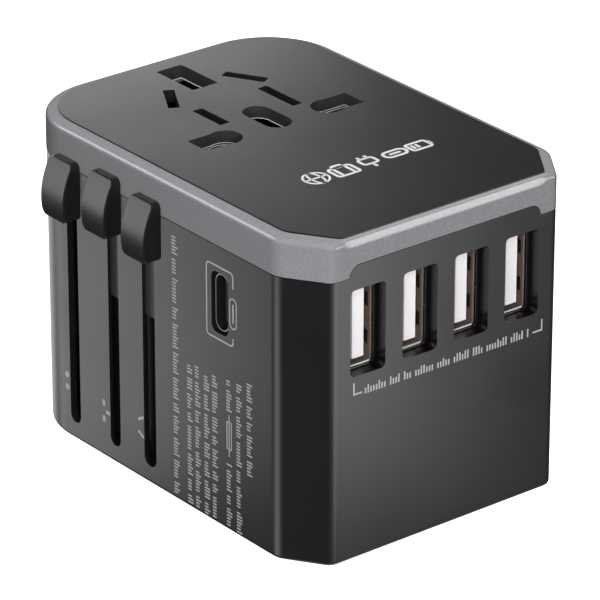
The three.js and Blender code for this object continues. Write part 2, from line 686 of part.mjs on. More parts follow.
function usbCTongue() {
  const back = SIDE_X + 0.5 + USB_C.depth - SHEET - GAP;
  const tongue = box(SIDE_X + 1.3, back, USB_C.y - 0.35, USB_C.y + 0.35, USB_C.z - 3.3, USB_C.z + 3.3);
  const block = box(back - 1.6, back, USB_C.y - 0.9, USB_C.y + 0.9, USB_C.z - 3.3, USB_C.z + 3.3);
  return join(tongue, block);
}

function portBoard() {
  return box(-21.6, 21.6, PORT_BOARD_Y, PORT_BOARD_Y + BOARD_T, 24, 45);
}

function mainsBoard() {
  const board = box(-21, 21, -30.6, PARTITION_Y - 1.4, MAINS_BOARD_Z, MAINS_BOARD_Z + BOARD_T);
  const clear = BOSSES.slice(0, 2).map(([x, y]) => join(
    cylinder(x, y, BOSS.r + 0.5, 0, FAR, 16),
    box(...span(x, Math.sign(x) * FAR), y - 1.2, y + 1.2, 0, FAR),
    box(...span(x, Math.sign(x) * FAR), -FAR, y, 0, FAR),
  ));
  return cut(board, ...clear);
}

function partition() {
  return box(-22.2, 22.2, PARTITION_Y - 0.6, PARTITION_Y + 0.6, BASE_T + 0.5, 42);
}

// the ferrite frame with its centre leg
function transformerCore() {
  const halfW = CORE.w / 2;
  const halfL = CORE.l / 2;
  const inside = halfW - CORE.leg;
  const leg = CORE.centreLeg / 2;
  const frame = cut(
    box(-halfW, halfW, CORE_Y - halfL, CORE_Y + halfL, BOARD_TOP, BOARD_TOP + CORE.h),
    box(-inside, inside, -FAR, FAR, BOARD_TOP + CORE.leg, BOARD_TOP + CORE.h - CORE.leg),
  );
  return join(frame, box(-leg, leg, CORE_Y - halfL, CORE_Y + halfL, BOARD_TOP + 1, BOARD_TOP + CORE.h - 1));
}

// the taped coil round the core's centre leg
function transformerWinding() {
  const z0 = BOARD_TOP + CORE.leg + GAP;
  const z1 = BOARD_TOP + CORE.h - CORE.leg - GAP;
  const halfX = CORE.centreLeg / 2 + GAP;
  const halfY = CORE.l / 2 + GAP;
  const outside = prism(roundedRect(0, CORE_Y, CORE.w - 2 * CORE.leg - 2 * GAP, CORE.l + 2, 1.6), z0, z1);
  return cut(outside, box(-halfX, halfX, CORE_Y - halfY, CORE_Y + halfY, 0, FAR));
}

// a standing electrolytic capacitor with its rolled-in collar
function capacitor() {
  const r = 4;
  const h = 15;
  const profile = [[0, 0], [r, 0], [r, 1.6], [r - 0.35, 2.1], [r, 2.6], [r, h - 0.4], [r - 0.4, h], [0, h]];
  const geometry = new THREE.LatheGeometry(profile.map(([x, z]) => new THREE.Vector2(x, z)), 20);
  geometry.rotateX(Math.PI / 2);
  return toSolid(geometry);
}

function chokeCoil() {
  const profile = roundedRect(4.1, 2.6, 3.4, 4.6, 0.8, 2).getPoints();
  profile.push(profile[0].clone());
  const geometry = new THREE.LatheGeometry(profile, 20);
  geometry.rotateX(Math.PI / 2);
  return toSolid(geometry);
}

function fuse() {
  const half = FUSE.length / 2;
  const { cap } = FUSE;
  const waist = FUSE.r - 0.25;
  const profile = [
    [0, -half], [FUSE.r, -half], [FUSE.r, cap - half], [waist, cap - half],
    [waist, half - cap], [FUSE.r, half - cap], [FUSE.r, half], [0, half],
  ];
  return toSolid(new THREE.LatheGeometry(profile.map(([r, y]) => new THREE.Vector2(r, y)), 20));
}

function fuseClip() {
  const halfY = 1.8;
  const inside = FUSE.r + GAP;
  const outside = FUSE.r + 0.7;
  const foot = -FUSE.r - 1.1;
  const base = box(-outside, outside, -halfY, halfY, foot, -inside);
  const sides = [-1, 1].map((side) => box(...span(side * inside, side * outside), -halfY, halfY, foot, 1.2));
  return join(base, ...sides);
}

// the strip that takes the current up from the plug pins to the socket contact
function busbar(side) {
  const x0 = side < 0 ? -11.4 : 6;
  const strip = box(x0, x0 + 5.4, 9.2, 10, 3.2, SOCKET.z0 - GAP);
  const foot = box(x0, x0 + 5.4, 9.2, 11.4, 3.2, 4);
  return join(strip, foot);
}

// ---------- materials ----------

const plastic = (color, roughness) => new THREE.MeshStandardMaterial({ color, roughness, metalness: 0 });
const metal = (color, roughness) => new THREE.MeshStandardMaterial({ color, roughness, metalness: 1 });

const SHELL_PLASTIC = plastic(0x4a4b4e, 0.45);
const BAND_PLASTIC = plastic(0x9a9c9f, 0.4);
const PLATE_PLASTIC = plastic(0x3c3d40, 0.6);
const KNOB_PLASTIC = plastic(0x1b1b1d, 0.4);
const CARRIAGE_PLASTIC = plastic(0x2c2c2f, 0.5);
const SHUTTER_PLASTIC = plastic(0x232325, 0.25);
const INSULATOR_PLASTIC = plastic(0x2a2a2c, 0.7);
const TONGUE_PLASTIC = plastic(0xe6dcda, 0.4);
const SLEEVE_PLASTIC = plastic(0x161617, 0.5);
const BOARD = plastic(0x1f5a38, 0.5);
const FERRITE = plastic(0x35363a, 0.8);
const WINDING_TAPE = plastic(0xd9b52a, 0.5);
const CAPACITOR_SKIN = plastic(0x27304a, 0.35);
const CERAMIC = plastic(0xe8e4da, 0.3);
const COPPER = metal(0xb87343, 0.35);
const BRASS = metal(0xc9a95a, 0.35);
const NICKEL = metal(0xc4c1ba, 0.28);
const STEEL = metal(0xa8a8aa, 0.35);
const PORT_METAL = metal(0xb9aca0, 0.3);

// ---------- assembly ----------

const group = new THREE.Group();

function add(name, solid, material, x = 0, y = 0, z = 0) {
  const mesh = new THREE.Mesh(toGeometry(solid), material);
  mesh.name = name;
  mesh.position.set(x, y, z);
  group.add(mesh);
}

add('body_shell', bodyShell(), SHELL_PLASTIC);
add('base_plate', basePlate(), SHELL_PLASTIC);
BOSSES.forEach(([x, y], i) => add(`base_screw_${i + 1}`, baseScrew(), STEEL, x, y));
add('top_band', topBand(), BAND_PLASTIC);
add('top_plate', topPlate(), PLATE_PLASTIC);

add('socket_block', socketBlock(), INSULATOR_PLASTIC);
add('contact_line', poleContact(-1), BRASS);
add('contact_neutral', poleContact(1), BRASS);
add('contact_earth', earthContact(), BRASS);
add('busbar_line', busbar(-1), COPPER);
add('busbar_neutral', busbar(1), COPPER);
add('socket_shutter', socketShutter(), SHUTTER_PLASTIC);
add('shutter_spring', shutterSpring(), STEEL);

add('eu_knob', sliderKnob(EU), KNOB_PLASTIC);
add('eu_carriage', euCarriage(), CARRIAGE_PLASTIC);
add('eu_pin_left', roundPin(), NICKEL, -EU.x, EU.y);
add('eu_pin_right', roundPin(), NICKEL, EU.x, EU.y);

add('uk_knob', sliderKnob(UK), KNOB_PLASTIC);
add('uk_carriage', ukCarriage(), CARRIAGE_PLASTIC);
for (const [name, side] of [['left', -1], ['right', 1]]) {
  add(`uk_pin_${name}`, ukPolePin(), NICKEL, side * UK.x, UK.y);
  add(`uk_sleeve_${name}`, pinSleeve(), SLEEVE_PLASTIC, side * UK.x, UK.y);
}
add('uk_pin_earth', ukEarthPin(), SLEEVE_PLASTIC, 0, UK_EARTH_Y);

add('us_knob', sliderKnob(US), KNOB_PLASTIC);
add('us_carriage', usCarriage(), CARRIAGE_PLASTIC);
add('us_blade_left', turningBlade(), NICKEL, -US.x, US.y);
add('us_blade_right', turningBlade(), NICKEL, US.x, US.y);
add('slider_guide', sliderGuide(), INSULATOR_PLASTIC);

USB_A_X.forEach((x, i) => {
  add(`usb_a_shell_${i + 1}`, usbAShell(), PORT_METAL, x);
  add(`usb_a_tongue_${i + 1}`, usbATongue(), TONGUE_PLASTIC, x);
});
add('usb_c_shell', usbCShell(), PORT_METAL);
add('usb_c_tongue', usbCTongue(), INSULATOR_PLASTIC);
add('port_board', portBoard(), BOARD);
add('mains_board', mainsBoard(), BOARD);
add('partition', partition(), INSULATOR_PLASTIC);
add('transformer_core', transformerCore(), FERRITE);
add('transformer_winding', transformerWinding(), WINDING_TAPE);
add('capacitor_1', capacitor(), CAPACITOR_SKIN, -12.5, -15.9, BOARD_TOP);
add('capacitor_2', capacitor(), CAPACITOR_SKIN, -12.5, -24.3, BOARD_TOP);
add('choke_coil', chokeCoil(), COPPER, 0, -24.6, BOARD_TOP + CORE.h + GAP);
add('fuse', fuse(), CERAMIC, FUSE.x, FUSE.y, FUSE.z);
[-7.5, 7.5].forEach((step, i) => add(`fuse_clip_${i + 1}`, fuseClip(), BRASS, FUSE.x, FUSE.y + step, FUSE.z));

export default group;
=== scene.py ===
# Universal travel adapter: the finished looks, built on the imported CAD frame.
import json
import math
import random

import bmesh
import bpy
from mathutils import Matrix, Vector

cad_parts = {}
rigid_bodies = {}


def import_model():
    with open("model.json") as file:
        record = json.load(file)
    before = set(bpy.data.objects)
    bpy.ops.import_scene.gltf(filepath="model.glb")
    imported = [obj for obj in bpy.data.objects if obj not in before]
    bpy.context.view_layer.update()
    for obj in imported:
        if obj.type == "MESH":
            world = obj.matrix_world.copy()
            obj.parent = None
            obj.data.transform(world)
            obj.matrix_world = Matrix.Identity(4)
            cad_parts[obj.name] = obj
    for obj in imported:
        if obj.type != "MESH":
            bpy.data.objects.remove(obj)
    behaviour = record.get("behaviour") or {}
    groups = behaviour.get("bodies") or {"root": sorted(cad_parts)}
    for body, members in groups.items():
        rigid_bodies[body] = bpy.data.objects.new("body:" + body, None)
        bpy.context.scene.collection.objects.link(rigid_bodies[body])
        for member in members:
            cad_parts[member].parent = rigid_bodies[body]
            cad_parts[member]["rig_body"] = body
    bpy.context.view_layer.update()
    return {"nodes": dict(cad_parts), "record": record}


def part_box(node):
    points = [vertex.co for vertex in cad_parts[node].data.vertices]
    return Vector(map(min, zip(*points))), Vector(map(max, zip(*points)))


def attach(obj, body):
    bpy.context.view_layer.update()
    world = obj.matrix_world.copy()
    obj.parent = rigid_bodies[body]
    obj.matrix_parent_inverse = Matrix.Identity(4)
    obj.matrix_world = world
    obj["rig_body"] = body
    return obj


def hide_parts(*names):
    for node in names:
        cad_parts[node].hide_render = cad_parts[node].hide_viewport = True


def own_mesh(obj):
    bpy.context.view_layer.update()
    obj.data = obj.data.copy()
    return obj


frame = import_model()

MM = 0.001


def cad_box(node):
    """A CAD node's lowest and highest corners in millimetres."""
    low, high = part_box(node)
    return low / MM, high / MM


def middle(node):
    """The middle of a CAD node in plan."""
    low, high = cad_box(node)
    return (low.x + high.x) / 2, (low.y + high.y) / 2


# ---------- sizes, in millimetres ----------

SHELL_LOW, SHELL_HIGH = cad_box("body_shell")
BAND_LOW, BAND_HIGH = cad_box("top_band")
PLATE_LOW, PLATE_HIGH = cad_box("top_plate")
HALF_W = SHELL_HIGH.x
FRONT_Y = SHELL_LOW.y
BACK_Y = SHELL_HIGH.y
SEAM_Z = BAND_LOW.z
BODY_H = PLATE_HIGH.z
SKIN = 0.02  # how far surfaces lie inside those of the CAD

# the outline in plan
CHAMFER_X = 4.6
CHAMFER_Y = 6.8
REAR_R = 12
EDGE_R = 1.6  # where a chamfer meets the front
SIDE_EDGE_R = 4  # where a chamfer meets a side

# the shell
WALL = 2
BOTTOM_R = 0.8
SEAM_GAP = 0.06
SEAM_R = 0.06
LIP_INSET = 1.4  # the lip that the band sits round
LIP_H = 2.2
ARCH_HALF = 17.5  # where the shell rises into the band above the ports
ARCH_TOP = 45.9
ARCH_FOOT = 4
SLOTS = {  # y, width, wall left by the track behind it
    "eu": (20.3, 2.5, 1.2),
    "uk": (10.4, 2.5, 0.5),
    "us": (1.9, 2.9, 0.5),
}
SLOT_LOW = 3
SLOT_HIGH = 45.2
TRACK_HALF = 2.9
TRACK_LOW = 2.7
BAND_TRACK = (40, 46)  # the height over which the tracks cut into the band
THROUGH = 5  # how far a cutter reaches past a wall

# the band and the socket plate
RIM = 1.85
RIM_FRONT = 0.45
RIM_ROUND = 0.8
RIM_DROP = 1.15  # where the rounding starts, below the rim's top
RIM_TURN = 75
LEDGE_Z = 48.25  # the plate's seat
BAND_CEILING = 46.8
BAND_INNER = 1.1
BROW = {"half": 18.6, "low": 48.55, "rise": 1.9, "depth": 0.42, "corner": 1.4}
PLATE_R = 0.06

# the socket holes
EARTH_HOLES = [(0, 25.2, 4.6, 8.9, 0.15, 3), (0, 6, 4.4, 9, 2.19, 14)]  # x, y, w, h, corner, steps
ROUND_PIN = (9.4, 3.7, 2.5)  # x, y and radius of the round part of a line or neutral hole
FLAT_PIN = (14.5, 1.6, 6)  # outer x, lowest and highest y of its square part
BLADE_HOLE_W = 1.7
US_HOLE = (6.35, 11.1)
US_HOLE_L = {-1: 6.6, 1: 8.4}
AU_HOLE = (6.85, 20)
AU_HOLE_L = 6.8
AU_TURN = 30

# the knobs
KNOBS = {name: middle(name)[1] for name in ("eu_knob", "uk_knob", "us_knob")}
KNOB_LEVELS = 48
KNOB_FOOT = 2.95  # how proud the knob stands at its foot, its belly and its head
KNOB_BELLY = 4.2
KNOB_HEAD = 1.45
KNOB_TIP_R = 0.22
KNOB_CORNER = 1.0
KNOB_CREASE = 0.3
PEG_HALF = 0.93
PEG_LOW = 39.6
PEG_HIGH = 44.55

# the ports
USB_A_XS = [middle(f"usb_a_shell_{i}")[0] for i in (1, 2, 3, 4)]
USB_A_LOW, USB_A_HIGH = cad_box("usb_a_shell_1")
USB_A_Z = (USB_A_LOW.z + USB_A_HIGH.z) / 2
USB_A_WINDOW = (6.3, 13.3, 0.8)  # width, height, corner
USB_A_FRAME = (8.2, 15, 0.8)
USB_A_MOUTH = (5.14, 12.74, 0.55)
USB_A_SHEET = 0.33
USB_A_CORNER = 0.55
FINGER_STEP = 2.9  # the sprung fingers stand this far above and below the middle
CONTACT_STEPS = (-3.5, -1, 1, 3.5)
USB_C_LOW, USB_C_HIGH = cad_box("usb_c_shell")
USB_C_Y = (USB_C_LOW.y + USB_C_HIGH.y) / 2
USB_C_Z = (USB_C_LOW.z + USB_C_HIGH.z) / 2
USB_C_WINDOW = (3.8, 9.4, 1.1)
USB_C_SIZE = (3.2, 8.9, 1.57)
USB_C_PITCH = 0.5

# the underside
PLUG_INSET = 2.32  # the base plate's edge, inside the shell's
PLUG_EDGE_R = 0.3
PLUG_TOP = 2.38
BLADE_X = 6.35  # where the American blades turn
BLADE_Y = -4.3


# ---------- camera, light and floor, in metres ----------

VIEW_AZIMUTH = -38.48
VIEW_ELEVATION = 24.95
VIEW_DISTANCE = 0.68597
VIEW_CENTRE = Vector((0, 0, 0.025))
LENS = 281
LENS_SHIFT = (0.0117, -0.0184)
FLOOR_SIZE = 6
FLOOR_Z = -0.045  # low enough for the plugs to slide out above it
WORLD_STRENGTH = 0.1

# name, place, target, size, radiance
CARDS = [  # seen only as reflections
    ("left_card", (-0.081, 0.108, 0.004), (-0.081, 0.02, 0.025), (0.066, 0.13), 2.1),
    ("edge_card", (-0.163, 0.017, -0.0455), (-0.025, -0.0277, 0.022), (0.05, 0.13), 3.0),
    ("knob_card", (-0.165, 0.15, 0.072), (-0.028, 0.01, 0.043), (0.12, 0.18), 4.4),
    ("front_card", (0.020, -0.140, 0.005), (0.0, -0.0345, 0.03), (0.10, 0.10), 3.2),
    ("top_card", (0.03, 0.14, 0.075), (0, 0.01, 0.05), (0.15, 0.05), 5.0),
    ("brow_card", (0.141, -0.25, 0.035), (0, -0.0345, 0.05), (0.25, 0.04), 18.0),
    ("rim_card", (-0.17, 0.25, 0.25), (-0.025, 0, 0.05), (0.2, 0.18), 8.0),
    ("rear_card", (0.12, 0.32, -0.02), (0.02, 0, 0.025), (0.35, 0.3), 1.3),
    ("corner_card", (-0.14, -0.31, -0.03), (0, 0, 0.025), (0.16, 0.16), 1.1),
]
# lights the underside and shows in it
UNDER_CARD = ("under_card", (0.05, -0.05, -0.4), (0, 0, 0), (0.4, 0.4), 1.6)
LAMPS = [  # light matt surfaces and leave no reflection
    ("back_fill", (0.5, 0.5, 0.33), (0, 0, 0.03), (0.4, 0.4), 7.0),
    ("overhead", (0, 0, 0.6), (0, 0, 0.05), (0.4, 0.4), 2.6),
    ("port_card", (0, -0.2, 0.05), (0, -0.03, 0.035), (0.1, 0.1), 2.0),
    ("fill", (-0.43, -0.57, 0.33), (0, 0, 0.03), (0.4, 0.4), 9.5),
]


def make_camera():
    azimuth, elevation = math.radians(VIEW_AZIMUTH), math.radians(VIEW_ELEVATION)
    back = Vector((
        math.sin(azimuth) * math.cos(elevation),
        -math.cos(azimuth) * math.cos(elevation),
        math.sin(elevation),
    ))
    data = bpy.data.cameras.new("camera")
    data.lens = LENS
    data.shift_x, data.shift_y = LENS_SHIFT
    data.clip_start = 0.05
    data.clip_end = 20
    camera = bpy.data.objects.new("camera", data)
    camera.location = VIEW_CENTRE + back * VIEW_DISTANCE
    camera.rotation_mode = "QUATERNION"
    camera.rotation_quaternion = (-back).to_track_quat("-Z", "Y")
    bpy.context.scene.collection.objects.link(camera)
    bpy.context.scene.camera = camera


def area_light(name, place, target, size, radiance, diffuse=True, glossy=True):
    """A rectangular light of an even radiance, which matt or glossy surfaces can leave out."""
    data = bpy.data.lights.new(name, "AREA")
    data.shape = "RECTANGLE"
    data.size, data.size_y = size
    data.energy = radiance * math.pi * size[0] * size[1]
    light = bpy.data.objects.new(name, data)
    light.location = place
    light.rotation_mode = "QUATERNION"
    light.rotation_quaternion = (Vector(target) - Vector(place)).to_track_quat("-Z", "Y")
    light.visible_diffuse = diffuse
    light.visible_glossy = glossy
    bpy.context.scene.collection.objects.link(light)


def make_lights():
    for row in CARDS:
        area_light(*row, diffuse=False)
    area_light(*UNDER_CARD)
    for row in LAMPS:
        area_light(*row, glossy=False)


def make_world():
    world = bpy.data.worlds.new("studio")
    world.use_nodes = True
    background = world.node_tree.nodes["Background"]
    background.inputs["Color"].default_value = (1, 1, 1, 1)
    background.inputs["Strength"].default_value = WORLD_STRENGTH
    bpy.context.scene.world = world
    bpy.context.scene.view_settings.view_transform = "Standard"


def link_lights(knobs, band, tongues):
    """Most cards are there for one part of the adapter; the knobs neither shade it nor show in it."""
    def group(name, pieces, state):
        members = bpy.data.collections.new(name)
        for piece in pieces:
            members.objects.link(piece)
        for row in members.collection_objects:
            row.light_linking.link_state = state
        return members

    no_knobs = group("all_but_knobs", knobs, "EXCLUDE")
    body = group("body_receivers", [*knobs, band], "EXCLUDE")
    shell = group("shell_receivers", [bpy.data.objects["body_shell_looks"]], "INCLUDE")
    for name in ("left_card", "edge_card", "fill"):
        bpy.data.objects[name].light_linking.blocker_collection = no_knobs
    for name in ("left_card", "edge_card", "front_card"):
        bpy.data.objects[name].light_linking.receiver_collection = body
    for name in ("rear_card", "corner_card"):
        bpy.data.objects[name].light_linking.receiver_collection = shell
    for name, pieces in (("knob_card", knobs), ("rim_card", [band]), ("port_card", tongues)):
        receivers = group(name + "_receivers", pieces, "INCLUDE")
        bpy.data.objects[name].light_linking.receiver_collection = receivers
    bpy.data.objects["top_card"].light_linking.receiver_collection = group("all_but_band", [band], "EXCLUDE")
    for knob_piece in knobs:
        knob_piece.visible_glossy = False


def make_floor():
    """White paper that glows by itself and takes no shadow."""
    bpy.ops.mesh.primitive_plane_add(size=FLOOR_SIZE, location=(0, 0, FLOOR_Z))
    floor = bpy.context.object
    floor.name = "floor"
    material = bpy.data.materials.new("floor_paper")
    material.use_nodes = True
    shader = material.node_tree.nodes["Principled BSDF"]
    shader.inputs["Base Color"].default_value = (0.85, 0.85, 0.85, 1)
    shader.inputs["Roughness"].default_value = 0.9
    shader.inputs["Specular IOR Level"].default_value = 0.1
    shader.inputs["Emission Color"].default_value = (1, 1, 1, 1)
    shader.inputs["Emission Strength"].default_value = 0.95
    floor.data.materials.append(material)
    floor.visible_glossy = False
    floor.visible_diffuse = False
    floor.visible_shadow = False


# ---------- materials ----------

NOISE_LOW, NOISE_HIGH = 0.3, 0.7  # the stretch of a noise that its ramps use


def colour_ramp(nodes, low, high):
    ramp = nodes.new("ShaderNodeValToRGB")
    ramp.color_ramp.elements[0].position = NOISE_LOW
    ramp.color_ramp.elements[0].color = (*low, 1)
    ramp.color_ramp.elements[1].position = NOISE_HIGH
    ramp.color_ramp.elements[1].color = (*high, 1)
    return ramp


def grain_material(name, colour, roughness, metallic=0.0, grain=(2600, 0.02), tint=0.08,
                   spread=0.02, specular=0.5):
    """A surface whose gloss varies faintly; its grain is a noise scale and a bump height in millimetres."""
    material = bpy.data.materials.new(name)
    material.use_nodes = True
    nodes, links = material.node_tree.nodes, material.node_tree.links
    shader = nodes["Principled BSDF"]
    shader.inputs["Metallic"].default_value = metallic
    shader.inputs["Specular IOR Level"].default_value = specular
    place = nodes.new("ShaderNodeTexCoord")

    broad = nodes.new("ShaderNodeTexNoise")
    broad.inputs["Scale"].default_value = 70
    broad.inputs["Detail"].default_value = 4
    links.new(place.outputs["Object"], broad.inputs["Vector"])
    fine = nodes.new("ShaderNodeTexNoise")
    fine.inputs["Scale"].default_value = grain[0]
    fine.inputs["Detail"].default_value = 2
    links.new(place.outputs["Object"], fine.inputs["Vector"])

    darker = [c * (1 - tint) for c in colour]
    lighter = [min(1, c * (1 + tint)) for c in colour]
    ramp = colour_ramp(nodes, darker, lighter)
    links.new(fine.outputs["Fac"], ramp.inputs["Fac"])
    links.new(ramp.outputs["Color"], shader.inputs["Base Color"])

    gloss = nodes.new("ShaderNodeMapRange")
    gloss.inputs["From Min"].default_value = NOISE_LOW
    gloss.inputs["From Max"].default_value = NOISE_HIGH
    gloss.inputs["To Min"].default_value = roughness - spread
    gloss.inputs["To Max"].default_value = roughness + spread
    links.new(broad.outputs["Fac"], gloss.inputs["Value"])
    links.new(gloss.outputs["Result"], shader.inputs["Roughness"])

    bump = nodes.new("ShaderNodeBump")
    bump.inputs["Strength"].default_value = 1
    bump.inputs["Distance"].default_value = grain[1] * MM
    links.new(fine.outputs["Fac"], bump.inputs["Height"])
    links.new(bump.outputs["Normal"], shader.inputs["Normal"])
    return material


def make_materials():
    plastics = {
        "shell": grain_material("shell_plastic", (0.0095, 0.0095, 0.0115), 0.31, grain=(2200, 0.003)),
        "band": grain_material("band_paint", (0.33, 0.335, 0.35), 0.27, grain=(3000, 0.003),
                               tint=0.09, spread=0.003, specular=0.35),
        "top_plate": grain_material("plate_plastic", (0.0125, 0.0125, 0.0132), 0.5,
                                    grain=(4200, 0.025), tint=0.35),
        # painted light and shade: lighter copies of the plate's plastic for the socket hole walls, with less
        # light on the thin slots' walls
        "painted_light_hole_wall": grain_material("painted_light_hole_wall_plastic", (0.042, 0.042, 0.044), 0.45,
                                    grain=(2500, 0.01), tint=0.2),
        "painted_shade_slot_wall": grain_material("painted_shade_slot_wall_plastic", (0.018, 0.018, 0.019), 0.5,
                                    grain=(2500, 0.01), tint=0.2),
        "knob": grain_material("knob_plastic", (0.012, 0.012, 0.0125), 0.36,
                               grain=(2500, 0.003), specular=0.35),
        "carriage": grain_material("carriage_plastic", (0.045, 0.045, 0.047), 0.5, grain=(2500, 0.006)),
        "shutter": grain_material("shutter_plastic", (0.01, 0.01, 0.01), 0.2, grain=(1200, 0.002)),
        "insulator": grain_material("insulator_plastic", (0.012, 0.012, 0.013), 0.55, grain=(2200, 0.006)),
        "port_tongue": grain_material("tongue_plastic", (0.98, 0.93, 0.95), 0.4,
                                      grain=(2500, 0.003), tint=0.02),
        "sleeve": grain_material("sleeve_plastic", (0.012, 0.012, 0.012), 0.5, grain=(2200, 0.006)),
        # painted shade: a darker, glossier copy of the shell's plastic inside the USB-A recesses
        "painted_shade_black": grain_material("painted_shade_recess_plastic", (0.004, 0.004, 0.004), 0.28, grain=(900, 0.001)),
    }
    metals = {
        "busbar": grain_material("copper", (0.72, 0.35, 0.2), 0.35, metallic=1, grain=(1500, 0.004)),
        "contact_brass": grain_material("brass", (0.75, 0.55, 0.28), 0.32, metallic=1, grain=(1500, 0.004)),
        "pin_nickel": grain_material("nickel", (0.62, 0.6, 0.57), 0.24, metallic=1, grain=(1500, 0.003)),
        "screw_steel": grain_material("steel", (0.45, 0.45, 0.46), 0.32, metallic=1, grain=(1500, 0.004)),
        "port_metal": grain_material("port_metal", (0.27, 0.2, 0.165), 0.25, metallic=0.5,
                                     grain=(1200, 0.003)),
        "port_dark": grain_material("port_shadow_metal", (0.03, 0.03, 0.03), 0.3, metallic=0.6,
                                    grain=(1200, 0.003)),
        # painted highlight: a matt white, not a metal, that makes thin edges shine
        "painted_highlight_white": grain_material("painted_highlight_white", (0.95, 0.95, 0.94), 0.35, grain=(1500, 0.002)),
        "rim_metal": grain_material("rim_metal", (0.32, 0.32, 0.32), 0.25, metallic=0.3, grain=(1500, 0.002)),
    }
    electrics = {
        "circuit_board": grain_material("board_laminate", (0.01, 0.09, 0.035), 0.4, grain=(900, 0.004)),
        "ferrite": grain_material("ferrite", (0.03, 0.03, 0.033), 0.7, grain=(1600, 0.02)),
        "winding_tape": grain_material("winding_tape", (0.62, 0.42, 0.03), 0.4, grain=(700, 0.01)),
        "capacitor_skin": grain_material("capacitor_skin", (0.02, 0.028, 0.07), 0.3, grain=(900, 0.002)),
        "ceramic": grain_material("ceramic", (0.8, 0.77, 0.7), 0.25, grain=(1200, 0.002), tint=0.02),
    }
    inks = {
        "print": grain_material("print_ink", (0.56, 0.56, 0.57), 0.6, grain=(3000, 0.002), tint=0.04),
        "mark": grain_material("mark_ink", (0.85, 0.85, 0.85), 0.5, grain=(3000, 0.002), tint=0.02),
    }
    return {**plastics, **metals, **electrics, **inks}


# ---------- mesh building ----------

def rounded_polygon(corners):
    """Points of a polygon whose corners, each (x, y, radius, steps), are rounded by arcs."""
    points = []
    for i, (x, y, radius, steps) in enumerate(corners):
        here = Vector((x, y))
        if radius <= 0:
            points.append(here)
            continue
        back = (Vector(corners[i - 1][:2]) - here).normalized()
        on = (Vector(corners[(i + 1) % len(corners)][:2]) - here).normalized()
        half = math.acos(max(-1, min(1, back.dot(on)))) / 2
        centre = here + (back + on).normalized() * (radius / math.sin(half))
        reach = radius / math.tan(half)
        start = here + back * reach - centre
        end = here + on * reach - centre
        turn = math.atan2(start.x * end.y - start.y * end.x, start.dot(end))
        for step in range(steps + 1):
            angle = turn * step / steps
            points.append(centre + Matrix.Rotation(angle, 2) @ start)
    return points


def rounded_rect(x, y, w, h, r, steps=6):
    return rounded_polygon([
        (x - w / 2, y - h / 2, r, steps),
        (x + w / 2, y - h / 2, r, steps),
        (x + w / 2, y + h / 2, r, steps),
        (x - w / 2, y + h / 2, r, steps),
    ])


def body_outline(inset, front_inset=None):
    """The adapter's outline in plan, moved in; the front edge can have an inset of its own."""
    front_inset = inset if front_inset is None else front_inset
    half = HALF_W - inset
    front = FRONT_Y + front_inset
    slope = CHAMFER_Y / CHAMFER_X
    shift = inset * math.hypot(1, slope)
    side_y = FRONT_Y + CHAMFER_Y - inset * slope + shift
    front_x = HALF_W - (FRONT_Y + CHAMFER_Y + shift - front) / slope
    rear = max(0.5, REAR_R - inset)
    return rounded_polygon([
        (front_x, front, EDGE_R, 8),
        (half, side_y, SIDE_EDGE_R, 8),
        (half, BACK_Y - inset, rear, 28),
        (-half, BACK_Y - inset, rear, 28),
        (-half, side_y, SIDE_EDGE_R, 8),
        (-front_x, front, EDGE_R, 8),
    ])


def build(name, vertices, faces):
    mesh = bpy.data.meshes.new(name)
    mesh.from_pydata([Vector(v) * MM for v in vertices], [], faces)
    mesh.validate()
    piece = bpy.data.objects.new(name, mesh)
    bpy.context.scene.collection.objects.link(piece)
    return piece


def loft(name, rings, closed=False):
    """A skin through rings of equal point counts; a closed one joins its last ring to its first."""
    count = len(rings[0])
    vertices = [point for ring in rings for point in ring]
    faces = []
    pairs = len(rings) if closed else len(rings) - 1
    for i in range(pairs):
        a, b = i * count, (i + 1) % len(rings) * count
        for j in range(count):
            k = (j + 1) % count
            faces.append((a + j, a + k, b + k, b + j))
    if not closed:
        faces.append(tuple(reversed(range(count))))
        faces.append(tuple(range((len(rings) - 1) * count, len(rings) * count)))
    piece = build(name, vertices, faces)
    fix_normals(piece)
    return piece


def fix_normals(piece):
    mesh = bmesh.new()
    mesh.from_mesh(piece.data)
    bmesh.ops.recalc_face_normals(mesh, faces=mesh.faces)
    mesh.to_mesh(piece.data)
    mesh.free()


def prism(name, outline, low, high, axis="Z"):
    """A closed prism on an outline, along an axis: Z on (x, y), Y on (x, z) and X on (y, z)."""
    place = {
        "X": lambda u, v, w: (w, u, v),
        "Y": lambda u, v, w: (u, w, v),
        "Z": lambda u, v, w: (u, v, w),
    }[axis]
    rings = [[place(p[0], p[1], w) for p in outline] for w in (low, high)]
    return loft(name, rings)


def block(name, low, high):
    corners = [(low[0], low[1]), (high[0], low[1]), (high[0], high[1]), (low[0], high[1])]
    return prism(name, corners, low[2], high[2])


def merge(name, pieces):
    """One object from several."""
    bpy.ops.object.select_all(action="DESELECT")
    for piece in pieces:
        piece.select_set(True)
    bpy.context.view_layer.objects.active = pieces[0]
    bpy.ops.object.join()
    pieces[0].name = name
    return pieces[0]


def apply_modifiers(piece):
    bpy.context.view_layer.update()
    graph = bpy.context.evaluated_depsgraph_get()
    mesh = bpy.data.meshes.new_from_object(piece.evaluated_get(graph))
    piece.modifiers.clear()
    piece.data = mesh


def carve(piece, cutters, operation="DIFFERENCE"):
    """Cuts the cutters out of a piece, or adds them to it, and removes them."""
    for cutter in cutters:
        step = piece.modifiers.new("carve", "BOOLEAN")
        step.operation = operation
        step.solver = "EXACT"
        step.object = cutter
        apply_modifiers(piece)
        bpy.data.objects.remove(cutter)


